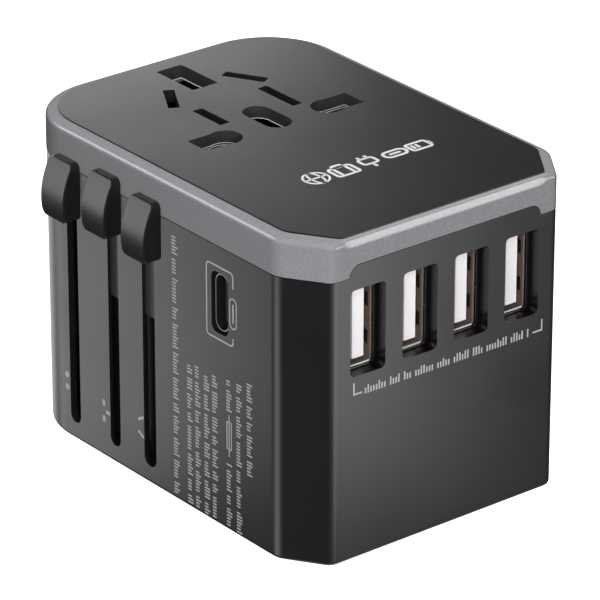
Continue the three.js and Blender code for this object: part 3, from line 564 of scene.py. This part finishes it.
def soften(piece, width, segments=3, limit=40, crease=35):
    """Rounds the sharp edges of a piece and shades it smooth."""
    step = piece.modifiers.new("soften", "BEVEL")
    step.width = width * MM
    step.segments = segments
    step.limit_method = "ANGLE"
    step.angle_limit = math.radians(limit)
    step.use_clamp_overlap = True
    step.miter_outer = "MITER_ARC"
    step.harden_normals = False
    apply_modifiers(piece)
    shade(piece, crease)


def shade(piece, angle=35):
    piece.data.shade_smooth()
    piece.data.set_sharp_from_angle(angle=math.radians(angle))
    step = piece.modifiers.new("normals", "WEIGHTED_NORMAL")
    step.keep_sharp = True
    apply_modifiers(piece)


def finish_piece(piece, material, body, nodes=()):
    piece.data.materials.clear()
    piece.data.materials.append(MATERIALS[material])
    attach(piece, body)
    if nodes:
        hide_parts(*nodes)
    return piece


# ---------- the housing ----------

def arch_outline(offset):
    """The stretch where the shell rises into the band above the ports."""
    foot = SEAM_Z - ARCH_FOOT
    top = ARCH_TOP + offset
    return rounded_rect(0, (foot + top) / 2, 2 * (ARCH_HALF + offset), top - foot, 2, 10)


def slot_cutters():
    height = SLOT_HIGH - SLOT_LOW
    cutters = []
    for y, width, _ in SLOTS.values():
        outline = rounded_rect(y, SLOT_LOW + height / 2, width, height, width / 2 - 0.01, 10)
        cutters.append(prism("slot", outline, -HALF_W - THROUGH, -HALF_W + THROUGH, "X"))
    return cutters


def track_cutters(low, high):
    """The grooves inside the wall in which the carriages run."""
    cutters = []
    for y, _, wall in SLOTS.values():
        near = (-HALF_W + wall, y - TRACK_HALF, low)
        cutters.append(block("track", near, (-HALF_W + THROUGH, y + TRACK_HALF, high)))
    return cutters


def ring_at(inset, z, front_inset=None):
    return [(p.x, p.y, z) for p in body_outline(inset, front_inset)]


def arc_rings(radius, z_from, upward, steps=5):
    """Rings that round an outer edge of the shell: its bottom one upward, or its top one."""
    rings = []
    for step in range(steps + 1):
        angle = math.radians(90 * step / steps)
        inset = radius * (1 - math.sin(angle)) if upward else radius * (1 - math.cos(angle))
        rise = radius * (1 - math.cos(angle)) if upward else radius * math.sin(angle)
        rings.append(ring_at(SKIN + inset, z_from + rise))
    return rings


def body_shell():
    seam = SEAM_Z - SEAM_GAP
    rings = arc_rings(BOTTOM_R, 0, True)
    rings += arc_rings(SEAM_R, seam - SEAM_R, False, 2)
    rings += [ring_at(LIP_INSET, seam), ring_at(LIP_INSET, seam + LIP_H)]
    rings += [ring_at(WALL, seam + LIP_H), ring_at(WALL, 0)]
    shell = loft("body_shell_looks", rings, closed=True)
    arch = prism("arch", arch_outline(-0.05), FRONT_Y + SKIN, FRONT_Y + WALL, "Y")
    carve(shell, [arch], "UNION")
    windows = [prism("window", rounded_rect(x, USB_A_Z, *USB_A_WINDOW), FRONT_Y - 3, FRONT_Y + 4, "Y")
               for x in USB_A_XS]
    side = rounded_rect(USB_C_Y, USB_C_Z, *USB_C_WINDOW, 10)
    windows.append(prism("side_window", side, -HALF_W - 3, -HALF_W + 4, "X"))
    carve(shell, windows + slot_cutters() + track_cutters(TRACK_LOW, BODY_H + THROUGH))
    soften(shell, 0.12, 3, 50)
    finish_piece(shell, "shell", "housing", ["body_shell"])
    paint_shade_in_windows(shell)


def paint_shade_in_windows(shell):
    """Painted shade: the walls of the USB-A windows get a darker, glossier copy of the shell's plastic, but
    for their outer edges.
    """
    shell.data.materials.append(MATERIALS["painted_shade_black"])
    half_w, half_h = USB_A_WINDOW[0] / 2 + 0.15, USB_A_WINDOW[1] / 2 + 0.35
    for face in shell.data.polygons:
        x, y, z = face.center / MM
        deep = FRONT_Y + 0.2 < y < FRONT_Y + WALL - 0.02 and abs(z - USB_A_Z) < half_h
        if deep and any(abs(x - port) < half_w for port in USB_A_XS):
            face.material_index = 1


def top_band():
    rim_z = BAND_HIGH.z
    low = SEAM_Z + 0.02
    rings = [ring_at(0.06, low), ring_at(0.02, low + 0.02), ring_at(0, low + 0.06)]
    rings.append(ring_at(0, rim_z - RIM_DROP))
    for step in range(1, 10):
        angle = math.radians(RIM_TURN * step / 9)
        inset = RIM_ROUND * (1 - math.cos(angle))
        rings.append(ring_at(inset, rim_z - RIM_DROP + RIM_ROUND * math.sin(angle), 0.6 * inset))
    rings += [
        ring_at(RIM - 0.05, rim_z, RIM_FRONT - 0.04),
        ring_at(RIM - 0.015, rim_z - 0.01, RIM_FRONT - 0.01),
        ring_at(RIM, rim_z - 0.04, RIM_FRONT),
        ring_at(RIM, LEDGE_Z, RIM_FRONT),
        ring_at(WALL + 1.2, LEDGE_Z),
        ring_at(WALL + 1.2, BAND_CEILING),
        ring_at(BAND_INNER, BAND_CEILING),
        ring_at(BAND_INNER, low),
    ]
    band = loft("top_band_looks", rings, closed=True)
    arch = prism("arch", arch_outline(0.04), FRONT_Y - THROUGH, FRONT_Y + 3, "Y")
    carve(band, [arch] + slot_cutters() + track_cutters(*BAND_TRACK) + [brow_cutter()])
    soften(band, 0.08, 3, 50, 10)
    return finish_piece(band, "band", "housing", ["top_band"])


def brow_cutter():
    """The slanted facet above the ports: a tilted slab whose ends are rounded."""
    low, rise, depth = BROW["low"], BROW["rise"], BROW["depth"]
    outline = rounded_rect(0, low + rise, 2 * BROW["half"], 2 * rise, BROW["corner"], 10)
    rings = []
    for y, climb in ((-2, 0), (0, 0), (0.01, 0.12), (0.05, 0.4), (depth * 1.2, rise * 1.2)):
        rings.append([(p.x, FRONT_Y + y, p.y + climb) for p in outline])
    return loft("brow", rings)


def hole_outlines():
    """The socket holes in plan."""
    holes = [rounded_rect(*hole) for hole in EARTH_HOLES]
    for side in (-1, 1):
        holes.append(mixed_hole(side))
        holes.append(rounded_rect(side * US_HOLE[0], US_HOLE[1], BLADE_HOLE_W, US_HOLE_L[side], 0.12, 3))
        slot = rounded_rect(0, 0, BLADE_HOLE_W, AU_HOLE_L, 0.12, 3)
        turn = Matrix.Rotation(math.radians(side * AU_TURN), 2)
        holes.append([turn @ p + Vector((side * AU_HOLE[0], AU_HOLE[1])) for p in slot])
    return holes


def mixed_hole(side, inset=0.0):
    """A hole for both a round and a flat pin: square outside, round towards the middle."""
    centre = Vector(ROUND_PIN[:2])
    radius = ROUND_PIN[2] - inset
    outer, low, high = FLAT_PIN[0] - inset, FLAT_PIN[1] + inset, FLAT_PIN[2] - inset
    start = math.asin((low - centre.y) / radius)
    end = math.asin((high - centre.y) / radius)
    sweep = 2 * math.pi - (end - start)
    steps = 20
    points = [Vector((outer, low)), Vector((outer, high)), Vector((centre.x + radius * math.cos(end), high))]
    for step in range(steps + 1):
        angle = end + sweep * step / steps
        points.append(centre + Vector((radius * math.cos(angle), radius * math.sin(angle))))
    points = tidy_points(points)
    if side < 0:
        points = [Vector((-p.x, p.y)) for p in reversed(points)]
    return points


def tidy_points(points):
    """The points without those that repeat the one before."""
    kept = []
    for p in points:
        if not kept or (p - kept[-1]).length > 1e-3:
            kept.append(p)
    return kept


def top_plate():
    side, front = RIM + 0.02, RIM_FRONT + 0.02
    top = BODY_H - SKIN
    rings = [ring_at(side, PLATE_LOW.z, front), ring_at(side, top - PLATE_R, front)]
    for step in range(1, 5):
        angle = math.radians(90 * step / 4)
        inset = PLATE_R * (1 - math.cos(angle))
        rings.append(ring_at(side + inset, top - PLATE_R + PLATE_R * math.sin(angle), front + inset))
    plate = loft("top_plate_looks", rings)
    low, high = PLATE_LOW.z - THROUGH, BODY_H + THROUGH
    carve(plate, [prism("hole", outline, low, high) for outline in hole_outlines()])
    soften(plate, 0.08, 2, 50)
    finish_piece(plate, "top_plate", "housing", ["top_plate"])
    paint_light_and_shade_in_holes(plate)


def paint_light_and_shade_in_holes(plate):
    """Painted light and shade: the walls of the socket holes get a lighter copy of the plate's plastic, and
    those of the thin slots a darker copy than the other holes.
    """
    plate.data.materials.append(MATERIALS["painted_light_hole_wall"])
    plate.data.materials.append(MATERIALS["painted_shade_slot_wall"])
    for face in plate.data.polygons:
        x, y, z = face.center / MM
        if abs(face.normal.z) < 0.3 and z < BODY_H - 0.15 and abs(x) < 15 and -1 < y < 30:
            in_slot = 3 < abs(x) < 11 and y > 6.5
            face.material_index = 2 if in_slot else 1


# ---------- sliding plugs ----------

def knob(name):
    """A thumb piece: loops up its height, with a bulging front, crisp long edges and rounded corners."""
    low, high = cad_box(name)
    y = KNOBS[name]
    half = (high.y - low.y) / 2 - 0.03
    back_x = -HALF_W - 0.3
    rings = []
    for i in range(KNOB_LEVELS + 1):
        t = 0.5 - 0.5 * math.cos(math.pi * i / KNOB_LEVELS)
        z = low.z + (high.z - low.z) * t
        proud = KNOB_FOOT * (1 - t) ** 2 + 2 * KNOB_BELLY * t * (1 - t) + KNOB_HEAD * t * t
        proud -= corner_loss(min(high.z - z, z - low.z), KNOB_TIP_R)
        width = half - corner_loss(high.z - z, KNOB_CORNER) - corner_loss(z - low.z, KNOB_CORNER)
        outline = rounded_polygon([
            (back_x, y - width, 0, 0), (back_x, y + width, 0, 0),
            (-HALF_W - proud, y + width, KNOB_CREASE, 6), (-HALF_W - proud, y - width, KNOB_CREASE, 6),
        ])
        rings.append([(p.x, p.y, z) for p in outline])
    cap = loft(name + "_looks", rings)
    shade(cap, 50)
    slider = name.replace("_knob", "_slider")
    knob_peg(name, high.x - 0.02, slider)
    return finish_piece(cap, "knob", slider, [name])


def knob_peg(name, inner_x, slider):
    """The neck that joins a knob to its carriage through the slot."""
    y = SLOTS[name[:2]][0]
    low = (-HALF_W - 1, y - PEG_HALF, PEG_LOW)
    peg = block(name + "_peg_looks", low, (inner_x, y + PEG_HALF, PEG_HIGH))
    soften(peg, 0.15, 3)
    finish_piece(peg, "knob", slider)


def corner_loss(distance, radius):
    """How far a rounded corner draws an edge in, at a distance from the end."""
    if distance >= radius:
        return 0.0
    return radius - math.sqrt(max(0.0, radius * radius - (radius - distance) ** 2))


# ---------- underside ----------

def lathe(name, profile, x, y, steps=48):
    """A turned solid on a profile of (radius, height) points from its lowest end to its highest."""
    rings = []
    for radius, height in profile:
        ring = []
        for step in range(steps):
            angle = 2 * math.pi * step / steps
            reach = max(radius, 0.001)
            ring.append((x + reach * math.cos(angle), y + reach * math.sin(angle), height))
        rings.append(ring)
    return loft(name, rings)


def blade_sweep(side):
    """The hole that a flat blade sweeps as it turns."""
    half_w, half_l = 1.05, 3.45
    reach = math.hypot(half_w, half_l)
    spread = math.degrees(math.atan2(half_w, half_l))
    points = []
    for end in (90, 270):
        start = end - spread - (0 if side > 0 else AU_TURN)
        for step in range(17):
            angle = math.radians(start + (AU_TURN + 2 * spread) * step / 16)
            place = (side * BLADE_X + reach * math.cos(angle), BLADE_Y + reach * math.sin(angle))
            points.append(Vector(place))
    return points


def circle(x, y, radius, steps=40):
    angles = [2 * math.pi * i / steps for i in range(steps)]
    return [Vector((x + radius * math.cos(angle), y + radius * math.sin(angle))) for angle in angles]


SCREWS = [middle(f"base_screw_{i}") for i in (1, 2, 3, 4)]
EU_PINS = ("eu_pin_left", "eu_pin_right")
UK_PINS = ("uk_pin_left", "uk_pin_right")


def base_plate():
    rings = []
    for step in range(5):
        angle = math.radians(90 * step / 4)
        inset = PLUG_INSET + PLUG_EDGE_R * (1 - math.sin(angle))
        rings.append(ring_at(inset, SKIN + PLUG_EDGE_R * (1 - math.cos(angle))))
    rings.append(ring_at(PLUG_INSET, PLUG_TOP))
    plate = loft("base_plate_looks", rings)
    outlines = [circle(*middle(name), 2.4) for name in EU_PINS]
    outlines += [rounded_rect(*middle(name), 7.15, 4.75, 0.6) for name in UK_PINS]
    outlines.append(rounded_rect(*middle("uk_pin_earth"), 4.75, 8.75, 0.6))
    outlines += [blade_sweep(side) for side in (-1, 1)]
    cutters = [prism("hole", outline, -2, 5) for outline in outlines]
    for x, y in SCREWS:
        cutters.append(prism("hole", circle(x, y, 1.3), -2, 5))
        cutters.append(prism("hole", circle(x, y, 2.3), -2, 1.4))
    carve(plate, cutters)
    soften(plate, 0.12, 3, 45)
    finish_piece(plate, "shell", "housing", ["base_plate"])


def base_screw(index):
    """A cross-head screw: a domed head, a thread of sharp rings and a blunt tip."""
    x, y = SCREWS[index]
    crest, root, pitch, neck = 0.95, 0.72, 0.75, 1.6
    profile = [(0, 0.1), (1.35, 0.1), (1.7, 0.18), (1.88, 0.32), (1.93, 0.5), (1.93, 1.15), (crest, 1.15)]
    for turn in range(11):
        z = neck + pitch * turn
        profile += [(crest, z), (root, z + 0.36)]
    profile += [(0.5, 9.7), (0, 9.85)]
    screw = lathe(f"base_screw_{index + 1}_looks", profile, x, y)
    arm, half, depth = 1.15, 0.24, 0.72
    cutters = [block("cross", (x - arm, y - half, -1), (x + arm, y + half, depth)),
               block("cross", (x - half, y - arm, -1), (x + half, y + arm, depth))]
    carve(screw, cutters)
    soften(screw, 0.04, 2, 50)
    finish_piece(screw, "screw_steel", "housing", [f"base_screw_{index + 1}"])


# ---------- pins ----------

def round_pin(name):
    """A European pin: a round nose, a bare shank and a thinner root."""
    low, high = cad_box(name)
    radius = (high.x - low.x) / 2 - 0.01
    nose, root, root_l = 1.2, 1.28, 2.5
    profile = [(0.2, low.z), (radius - nose, low.z)]
    for degrees in range(10, 91, 10):
        turn = math.radians(degrees)
        profile.append((radius - nose + nose * math.sin(turn), low.z + nose - nose * math.cos(turn)))
    top = high.z - root_l
    profile += [(radius, top - 0.15), (radius - 0.1, top), (root, top), (root, high.z - 0.1), (1.1, high.z)]
    pin = lathe(name + "_looks", profile, *middle(name), steps=56)
    shade(pin, 40)
    finish_piece(pin, "pin_nickel", "eu_slider", [name])


def refined(node):
    """A CAD node's own shape with its flat faces merged and its edges rounded, for an inner piece."""
    thing = frame["nodes"][node]
    mesh = thing.data.copy()
    work = bmesh.new()
    work.from_mesh(mesh)
    bmesh.ops.remove_doubles(work, verts=work.verts, dist=1e-6)
    bmesh.ops.dissolve_limit(work, angle_limit=math.radians(1), verts=work.verts, edges=work.edges)
    bmesh.ops.recalc_face_normals(work, faces=work.faces)
    work.to_mesh(mesh)
    work.free()
    piece = bpy.data.objects.new(node + "_looks", mesh)
    bpy.context.scene.collection.objects.link(piece)
    soften(piece, 0.12, 2, 38)
    slot_name = SLOT_OF[node]
    return finish_piece(piece, slot_name, thing["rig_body"], [node])


def compress_spring(spring):
    """Gives the spring a mesh of its own."""
    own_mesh(spring)


# ---------- charging ports ----------

def finger_spots():
    """The wall and the height of each sprung finger in a USB-A shell."""
    return [(side, USB_A_Z + step) for side in (-1, 1) for step in (-FINGER_STEP, FINGER_STEP)]


def usb_a_shell(index):
    """The sheet-metal shell of a port: a rolled mouth, and a window behind each sprung finger."""
    x = USB_A_XS[index]
    node = f"usb_a_shell_{index + 1}"
    low, high = cad_box(node)
    w, h = high.x - low.x, high.z - low.z
    front, back = low.y, high.y
    rings = []
    for inset, y in ((SKIN, back), (SKIN, front + 0.1), (0.05, front + 0.03), (0.14, front),
                     (0.24, front + 0.02), (USB_A_SHEET, front + 0.12), (USB_A_SHEET, back - 0.35)):
        corner = max(0.2, USB_A_CORNER - inset)
        outline = rounded_rect(x, USB_A_Z, w - 2 * inset, h - 2 * inset, corner)
        rings.append([(p.x, y, p.y) for p in outline])
    shell = loft(node + "_looks", rings)
    cutters = []
    for side, z in finger_spots():
        wall = x + side * w / 2
        cutters.append(block("window", (wall - 1, front + 0.6, z - 1.1), (wall + 1, front + 5.8, z + 1.1)))
    carve(shell, cutters)
    soften(shell, 0.05, 2, 50)
    finish_piece(shell, "port_metal", "housing", [node])


def usb_a_springs(index):
    x = USB_A_XS[index]
    low, high = cad_box(f"usb_a_shell_{index + 1}")
    reach = (high.x - low.x) / 2 - 0.2
    fingers = [contact_spring(x + side * reach, -side, low.y + 0.75, low.y + 5.9, z)
               for side, z in finger_spots()]
    springs = merge(f"usb_a_springs_{index + 1}_looks", fingers)
    soften(springs, 0.03, 1, 50)
    # painted shade: the springs get the near-black port metal
    finish_piece(springs, "port_dark", "housing")


def usb_a_lip_highlight(index):
    """A painted highlight: a white strip along the lower edge of a port's mouth."""
    x = USB_A_XS[index]
    low, high = cad_box(f"usb_a_shell_{index + 1}")
    outline = rounded_rect(x, low.z + 0.17, high.x - low.x - 0.9, 0.2, 0.08, 3)
    lip = prism(f"usb_a_lip_highlight_{index + 1}_looks", outline, low.y - 0.02, low.y + 0.1, "Y")
    shade(lip, 50)
    finish_piece(lip, "painted_highlight_white", "housing")


def contact_spring(x, inward, front, back, z):
    """A sprung finger that leans into the port from one of its walls."""
    rings = []
    for step in range(9):
        t = step / 8
        lean = 0.42 * math.sin(math.pi * min(1, 1.15 * (1 - t) + 0.05)) ** 2
        y = front + (back - front) * t
        half = 0.85 - 0.15 * (1 - t)
        a, b = x + inward * lean, x + inward * (lean + 0.18)
        rings.append([(a, y, z - half), (b, y, z - half), (b, y, z + half), (a, y, z + half)])
    return loft("spring", rings)


def contact_heights():
    return [USB_A_Z + step for step in CONTACT_STEPS]


def usb_a_tongue(index):
    """The tongue of a port: a slab with a groove for each contact, on a thick root."""
    x = USB_A_XS[index]
    node = f"usb_a_tongue_{index + 1}"
    low, high = cad_box(node)
    half, face, root_l = 5.5, 1.5, 3
    tongue = block(node + "_looks", (x - 0.6 + SKIN, low.y + SKIN, USB_A_Z - half + SKIN),
                   (x + face, high.y - 1, USB_A_Z + half - SKIN))
    root = block("root", (low.x + SKIN, high.y - root_l, low.z + SKIN),
                 (high.x - SKIN, high.y - SKIN, high.z - SKIN))
    carve(tongue, [root], "UNION")
    grooves = [block("groove", (x + face - 0.15, low.y + 1, z - 0.6), (x + 2, high.y - root_l, z + 0.6))
               for z in contact_heights()]
    carve(tongue, grooves)
    soften(tongue, 0.12, 3, 50)
    return finish_piece(tongue, "port_tongue", "housing", [node])


def usb_a_contacts(index):
    x = USB_A_XS[index]
    low, high = cad_box(f"usb_a_tongue_{index + 1}")
    strips = [block("strip", (x + 1.2, low.y + 1.15, z - 0.45), (x + 1.45, high.y - 3.1, z + 0.45))
              for z in contact_heights()]
    contacts = merge(f"usb_a_contacts_{index + 1}_looks", strips)
    soften(contacts, 0.06, 2, 50)
    finish_piece(contacts, "contact_brass", "housing")


def port_surround():
    """The floor of each USB-A recess, round the connector's metal shell, in glossy near-black as painted
    shade.
    """
    floor_y = FRONT_Y + WALL
    frames = []
    for x in USB_A_XS:
        plate = prism("surround", rounded_rect(x, USB_A_Z, *USB_A_FRAME), floor_y + 0.02, floor_y + 0.22, "Y")
        hole = prism("hole", rounded_rect(x, USB_A_Z, *USB_A_MOUTH), FRONT_Y, FRONT_Y + 4, "Y")
        carve(plate, [hole])
        frames.append(plate)
    merged = merge("port_surround_looks", frames)
    soften(merged, 0.06, 2, 50)
    finish_piece(merged, "painted_shade_black", "housing")


def usb_c_rings(steps):
    """Rings of the port's outline, each at an (inset, x)."""
    w, h, corner = USB_C_SIZE
    rings = []
    for inset, x in steps:
        outline = rounded_rect(USB_C_Y, USB_C_Z, w - 2 * inset, h - 2 * inset, corner - inset, 12)
        rings.append([(x, p.x, p.y) for p in outline])
    return rings


def usb_c_shell():
    front, back = USB_C_LOW.x, USB_C_HIGH.x
    shell = loft("usb_c_shell_looks", usb_c_rings((
        (SKIN, back), (SKIN, front + 0.1), (0.06, front + 0.03), (0.14, front),
        (0.22, front + 0.02), (0.3, front + 0.12), (0.3, back - 0.35),
    )))
    shade(shell, 50)
    # painted shade: the USB-C shell gets the near-black port metal
    finish_piece(shell, "port_dark", "housing", ["usb_c_shell"])
    rim = loft("usb_c_rim_looks", usb_c_rings((
        (0.04, front + 0.04), (0.04, front - 0.02), (0.2, front - 0.02), (0.2, front + 0.04),
    )), closed=True)
    shade(rim, 50)
    finish_piece(rim, "rim_metal", "housing")


def usb_c_tongue():
    low, high = cad_box("usb_c_tongue")
    slab = rounded_rect(USB_C_Y, USB_C_Z, 0.68, 6.56, 0.25)
    tongue = prism("usb_c_tongue_looks", slab, low.x + SKIN, high.x - 1, "X")
    root = prism("root", rounded_rect(USB_C_Y, USB_C_Z, 1.76, 6.56, 0.3), high.x - 1.6, high.x - SKIN, "X")
    carve(tongue, [root], "UNION")
    soften(tongue, 0.08, 3, 50)
    finish_piece(tongue, "insulator", "housing", ["usb_c_tongue"])
    strips = []
    for i in range(12):
        z = USB_C_Z + USB_C_PITCH * (i - 5.5)
        for side in (-1, 1):
            y = USB_C_Y + side * 0.35
            strips.append(block("strip", (low.x + 0.5, y - 0.04, z - 0.13), (high.x - 2, y + 0.04, z + 0.13)))
    contacts = merge("usb_c_contacts_looks", strips)
    soften(contacts, 0.02, 1, 50)
    finish_piece(contacts, "contact_brass", "housing")


# ---------- painted highlights: thin white edges inside the socket holes ---

def ribbon(name, outer, inner, low, high):
    """A thin band between two outlines."""
    rings = [[(p.x, p.y, z) for p in outline] for outline, z in
             ((outer, low), (outer, high), (inner, high - 0.03), (inner, low))]
    return loft(name, rings, closed=True)


def hole_edge_highlights():
    """Two thin white edges in each line or neutral hole, and one in each earth hole, as painted highlights.
    """
    pieces = []
    for side in (-1, 1):
        for low in (48.5, 48.16):
            pieces.append(ribbon("edge", mixed_hole(side, -0.05), mixed_hole(side, 0.1), low, low + 0.06))
    british, american = EARTH_HOLES
    for hole, outer_r, inner_r, low in ((american, 2.2, 2.06, 48.49), (british, 0.2, 0.15, 48.25)):
        x, y, w, h, _, steps = hole
        outer = rounded_rect(x, y, w + 0.1, h + 0.1, outer_r, steps)
        inner = rounded_rect(x, y, w - 0.24, h - 0.24, inner_r, steps)
        pieces.append(ribbon("edge", outer, inner, low, low + 0.07))
    merged = merge("hole_edges_looks", pieces)
    shade(merged, 30)
    finish_piece(merged, "painted_highlight_white", "housing")


# ---------- printed marks ----------

FACES = {
    "left": lambda p, lift: (SKIN - HALF_W - lift, p.x, p.y),
    "front": lambda p, lift: (p.x, FRONT_Y + SKIN - lift, p.y),
    "top": lambda p, lift: (p.x, p.y, BODY_H - SKIN + lift),
}
INK_LOW, INK_HIGH = -0.03, SKIN  # the printed marks' depth and height on a face

TICK_W = 0.25
TICK_PITCH = 0.5
TICK_GAP = 0.55  # extra room between groups of ticks
TICK_HEIGHTS = (1, 0.68, 0.68)  # shares of the row's height

# the left side's rows: y, lowest and highest z, tick height and the seed of its random groups
SIDE_ROWS = [
    (-4.5, 1.35, 42.1, 1.3, 1), (-7.75, 1.1, 23, 1.2, 2), (-9.6, 1.1, 23.5, 1.2, 3),
    (-11.7, 0.9, 22.8, 1.2, 4), (-13.6, 1.1, 23.8, 1.2, 5), (-19.2, 0.9, 24.4, 1.2, 6),
    (-21.6, 11, 25.4, 1.2, 7), (-16.9, 1.1, 11.2, 1.2, 9), (-16.9, 19.4, 24, 1.2, 10),
]
FUSE_Y = -16.9
FUSE_Z = 15.4
LABEL_Y = -17.95  # the pill beside the USB-C port
LABEL_Z = 34.85


def patch(outline, face):
    """A printed area inside an outline."""
    return loft("patch", [[FACES[face](Vector(p), lift) for p in outline] for lift in (INK_LOW, INK_HIGH)])


def stroke(path, width, face, closed=False):
    """A printed line of an even width along a path, with mitred corners."""
    path = [Vector(p) for p in path]
    last = len(path) - 1
    rings = []
    for i, here in enumerate(path):
        on = (path[(i + 1) % len(path)] - here).normalized() if closed or i < last else None
        back = (here - path[i - 1]).normalized() if closed or i > 0 else None
        on, back = on or back, back or on
        way = (on + back).normalized()
        side = Vector((-way.y, way.x)) * (width / 2 / max(0.3, way.dot(on)))
        rings.append([FACES[face](here + side, INK_LOW), FACES[face](here - side, INK_LOW),
                      FACES[face](here - side, INK_HIGH), FACES[face](here + side, INK_HIGH)])
    return loft("stroke", rings, closed)


def tick_row(start, end, height, seed, face):
    """A row of plain ticks in groups, printed where the original has a line of writing."""
    chance = random.Random(seed)
    start, end = Vector(start), Vector(end)
    along = (end - start).normalized()
    up = Vector((-along.y, along.x))
    pieces = []
    at, left = 0.0, chance.randint(3, 8)
    while at < (end - start).length:
        foot = start + along * at - up * height / 2
        reach = height * chance.choice(TICK_HEIGHTS)
        pieces.append(stroke([foot, foot + up * reach], TICK_W, face))
        at += TICK_PITCH
        left -= 1
        if left == 0:
            at += TICK_GAP
            left = chance.randint(3, 8)
    return pieces


def ellipse(x, y, rx, ry, steps=28):
    angles = [2 * math.pi * i / steps for i in range(steps)]
    return [(x + rx * math.cos(angle), y + ry * math.sin(angle)) for angle in angles]


def slot_pictures():
    """At the foot of each slot, the plug's pins as they are seen end on."""
    pieces = [patch(ellipse(22.3, z, 0.5, 0.5, 16), "left") for z in (8.2, 10.2)]
    pieces += [patch(rounded_rect(y, z, w, h, 0.08, 2), "left")
               for y, z, w, h in ((13.2, 6.4, 0.6, 1), (13.2, 9, 0.6, 1), (12.2, 7.7, 1, 0.6))]
    for z, turn in ((7.4, AU_TURN), (10, -AU_TURN)):
        blade = [Matrix.Rotation(math.radians(turn), 2) @ p + Vector((4.1, z))
                 for p in rounded_rect(0, 0, 1.5, 0.45, 0.08, 2)]
        pieces.append(patch(blade, "left"))
    return pieces


def side_marks():
    pieces = []
    for y, low, high, height, seed in SIDE_ROWS:
        pieces += tick_row((y, low), (y, high), height, seed, "left")
    pieces.append(stroke(rounded_rect(FUSE_Y, FUSE_Z, 1, 4.3, 0.1, 2), 0.2, "left", True))
    pieces.append(stroke([(FUSE_Y, FUSE_Z - 3.3), (FUSE_Y, FUSE_Z + 3.3)], 0.2, "left"))
    frame_path = [(LABEL_Y, 31), *rounded_rect(-14.92, 35.38, 6.05, 11.25, 0.6, 4), (LABEL_Y, 38.7)]
    pieces.append(stroke(frame_path, 0.25, "left"))
    pieces.append(stroke(rounded_rect(LABEL_Y, LABEL_Z, 1.5, 4.6, 0.74, 6), 0.2, "left", True))
    pieces.append(stroke([(LABEL_Y, LABEL_Z - 1.45), (LABEL_Y, LABEL_Z + 1.45)], 0.3, "left"))
    merged = merge("side_print_looks", pieces + slot_pictures())
    finish_piece(merged, "print", "housing")


def front_marks():
    """A row of ticks below the ports, between two corner brackets."""
    pieces = [stroke([(-16.6, 27.9), (-16.6, 26.1), (-15.1, 26.1)], 0.25, "front"),
              stroke([(16.4, 25.9), (18.1, 25.9), (18.1, 27.6)], 0.25, "front")]
    pieces += tick_row((-14.5, 26.35), (15.8, 26.15), 1.3, 20, "front")
    merged = merge("front_print_looks", pieces)
    finish_piece(merged, "print", "housing")


def globe_picture(x, y):
    loops = [ellipse(x, y, 1.95, 1.95), ellipse(x, y, 0.85, 1.95)]
    return loops, [[(x - 1.95, y), (x + 1.95, y)]]


def suitcase_picture(x, y):
    loops = [rounded_rect(x, y - 0.35, 3.9, 2.9, 0.5, 4), rounded_rect(x, y + 1.4, 1.5, 0.75, 0.2, 3)]
    return loops, [[(x + step, y - 1.7), (x + step, y + 1)] for step in (-1.05, 1.05)]


def plug_picture(x, y):
    pins = [[(x + step, y + 1.1), (x + step, y + 2.05)] for step in (-0.65, 0.65)]
    return [rounded_rect(x, y + 0.2, 2.6, 1.9, 0.5, 4)], [*pins, [(x, y - 0.75), (x, y - 2)]]


def port_picture(x, y):
    return [rounded_rect(x, y, 3.9, 1.9, 0.9, 6)], [[(x - 1, y), (x + 1, y)]]


def battery_picture(x, y):
    bars = [[(x + step, y - 0.6), (x + step, y + 0.6)] for step in (-1.2, -0.4)]
    return [rounded_rect(x - 0.2, y, 3.5, 2.3, 0.4, 4)], [[(x + 1.85, y - 0.55), (x + 1.85, y + 0.55)], *bars]


def top_marks():
    """Five small pictures in a row: globe, suitcase, plug, port and battery."""
    y = -15.8
    pictures = [(globe_picture, -8.4, 0.36), (suitcase_picture, -3.6, 0.5), (plug_picture, 1.2, 0.5),
                (port_picture, 6, 0.5), (battery_picture, 10.6, 0.5)]
    pieces = []
    for draw, x, width in pictures:
        loops, lines = draw(x, y)
        pieces += [stroke(loop, width, "top", True) for loop in loops]
        pieces += [stroke(line, width, "top") for line in lines]
    merged = merge("top_print_looks", pieces)
    finish_piece(merged, "mark", "housing")


# ---------- everything ----------

make_camera()
make_lights()
make_world()
make_floor()
MATERIALS = make_materials()

SLOT_OF = {row["node"]: row["material_slot"] for row in frame["record"]["subparts"]}
for node, thing in frame["nodes"].items():
    thing.data.materials.clear()
    thing.data.materials.append(MATERIALS[SLOT_OF[node]])

body_shell()
band_piece = top_band()
top_plate()
base_plate()
knob_pieces = [knob(knob_name) for knob_name in KNOBS]
tongue_pieces = []
for number in range(4):
    base_screw(number)
    usb_a_shell(number)
    usb_a_springs(number)
    usb_a_lip_highlight(number)
    tongue_pieces.append(usb_a_tongue(number))
    usb_a_contacts(number)
link_lights(knob_pieces, band_piece, tongue_pieces)
port_surround()
usb_c_shell()
usb_c_tongue()
hole_edge_highlights()
side_marks()
front_marks()
top_marks()
for pin_name in EU_PINS:
    round_pin(pin_name)
for node in sorted(frame["nodes"]):
    if not frame["nodes"][node].hide_render:
        inner_piece = refined(node)
        if node == "shutter_spring":
            compress_spring(inner_piece)
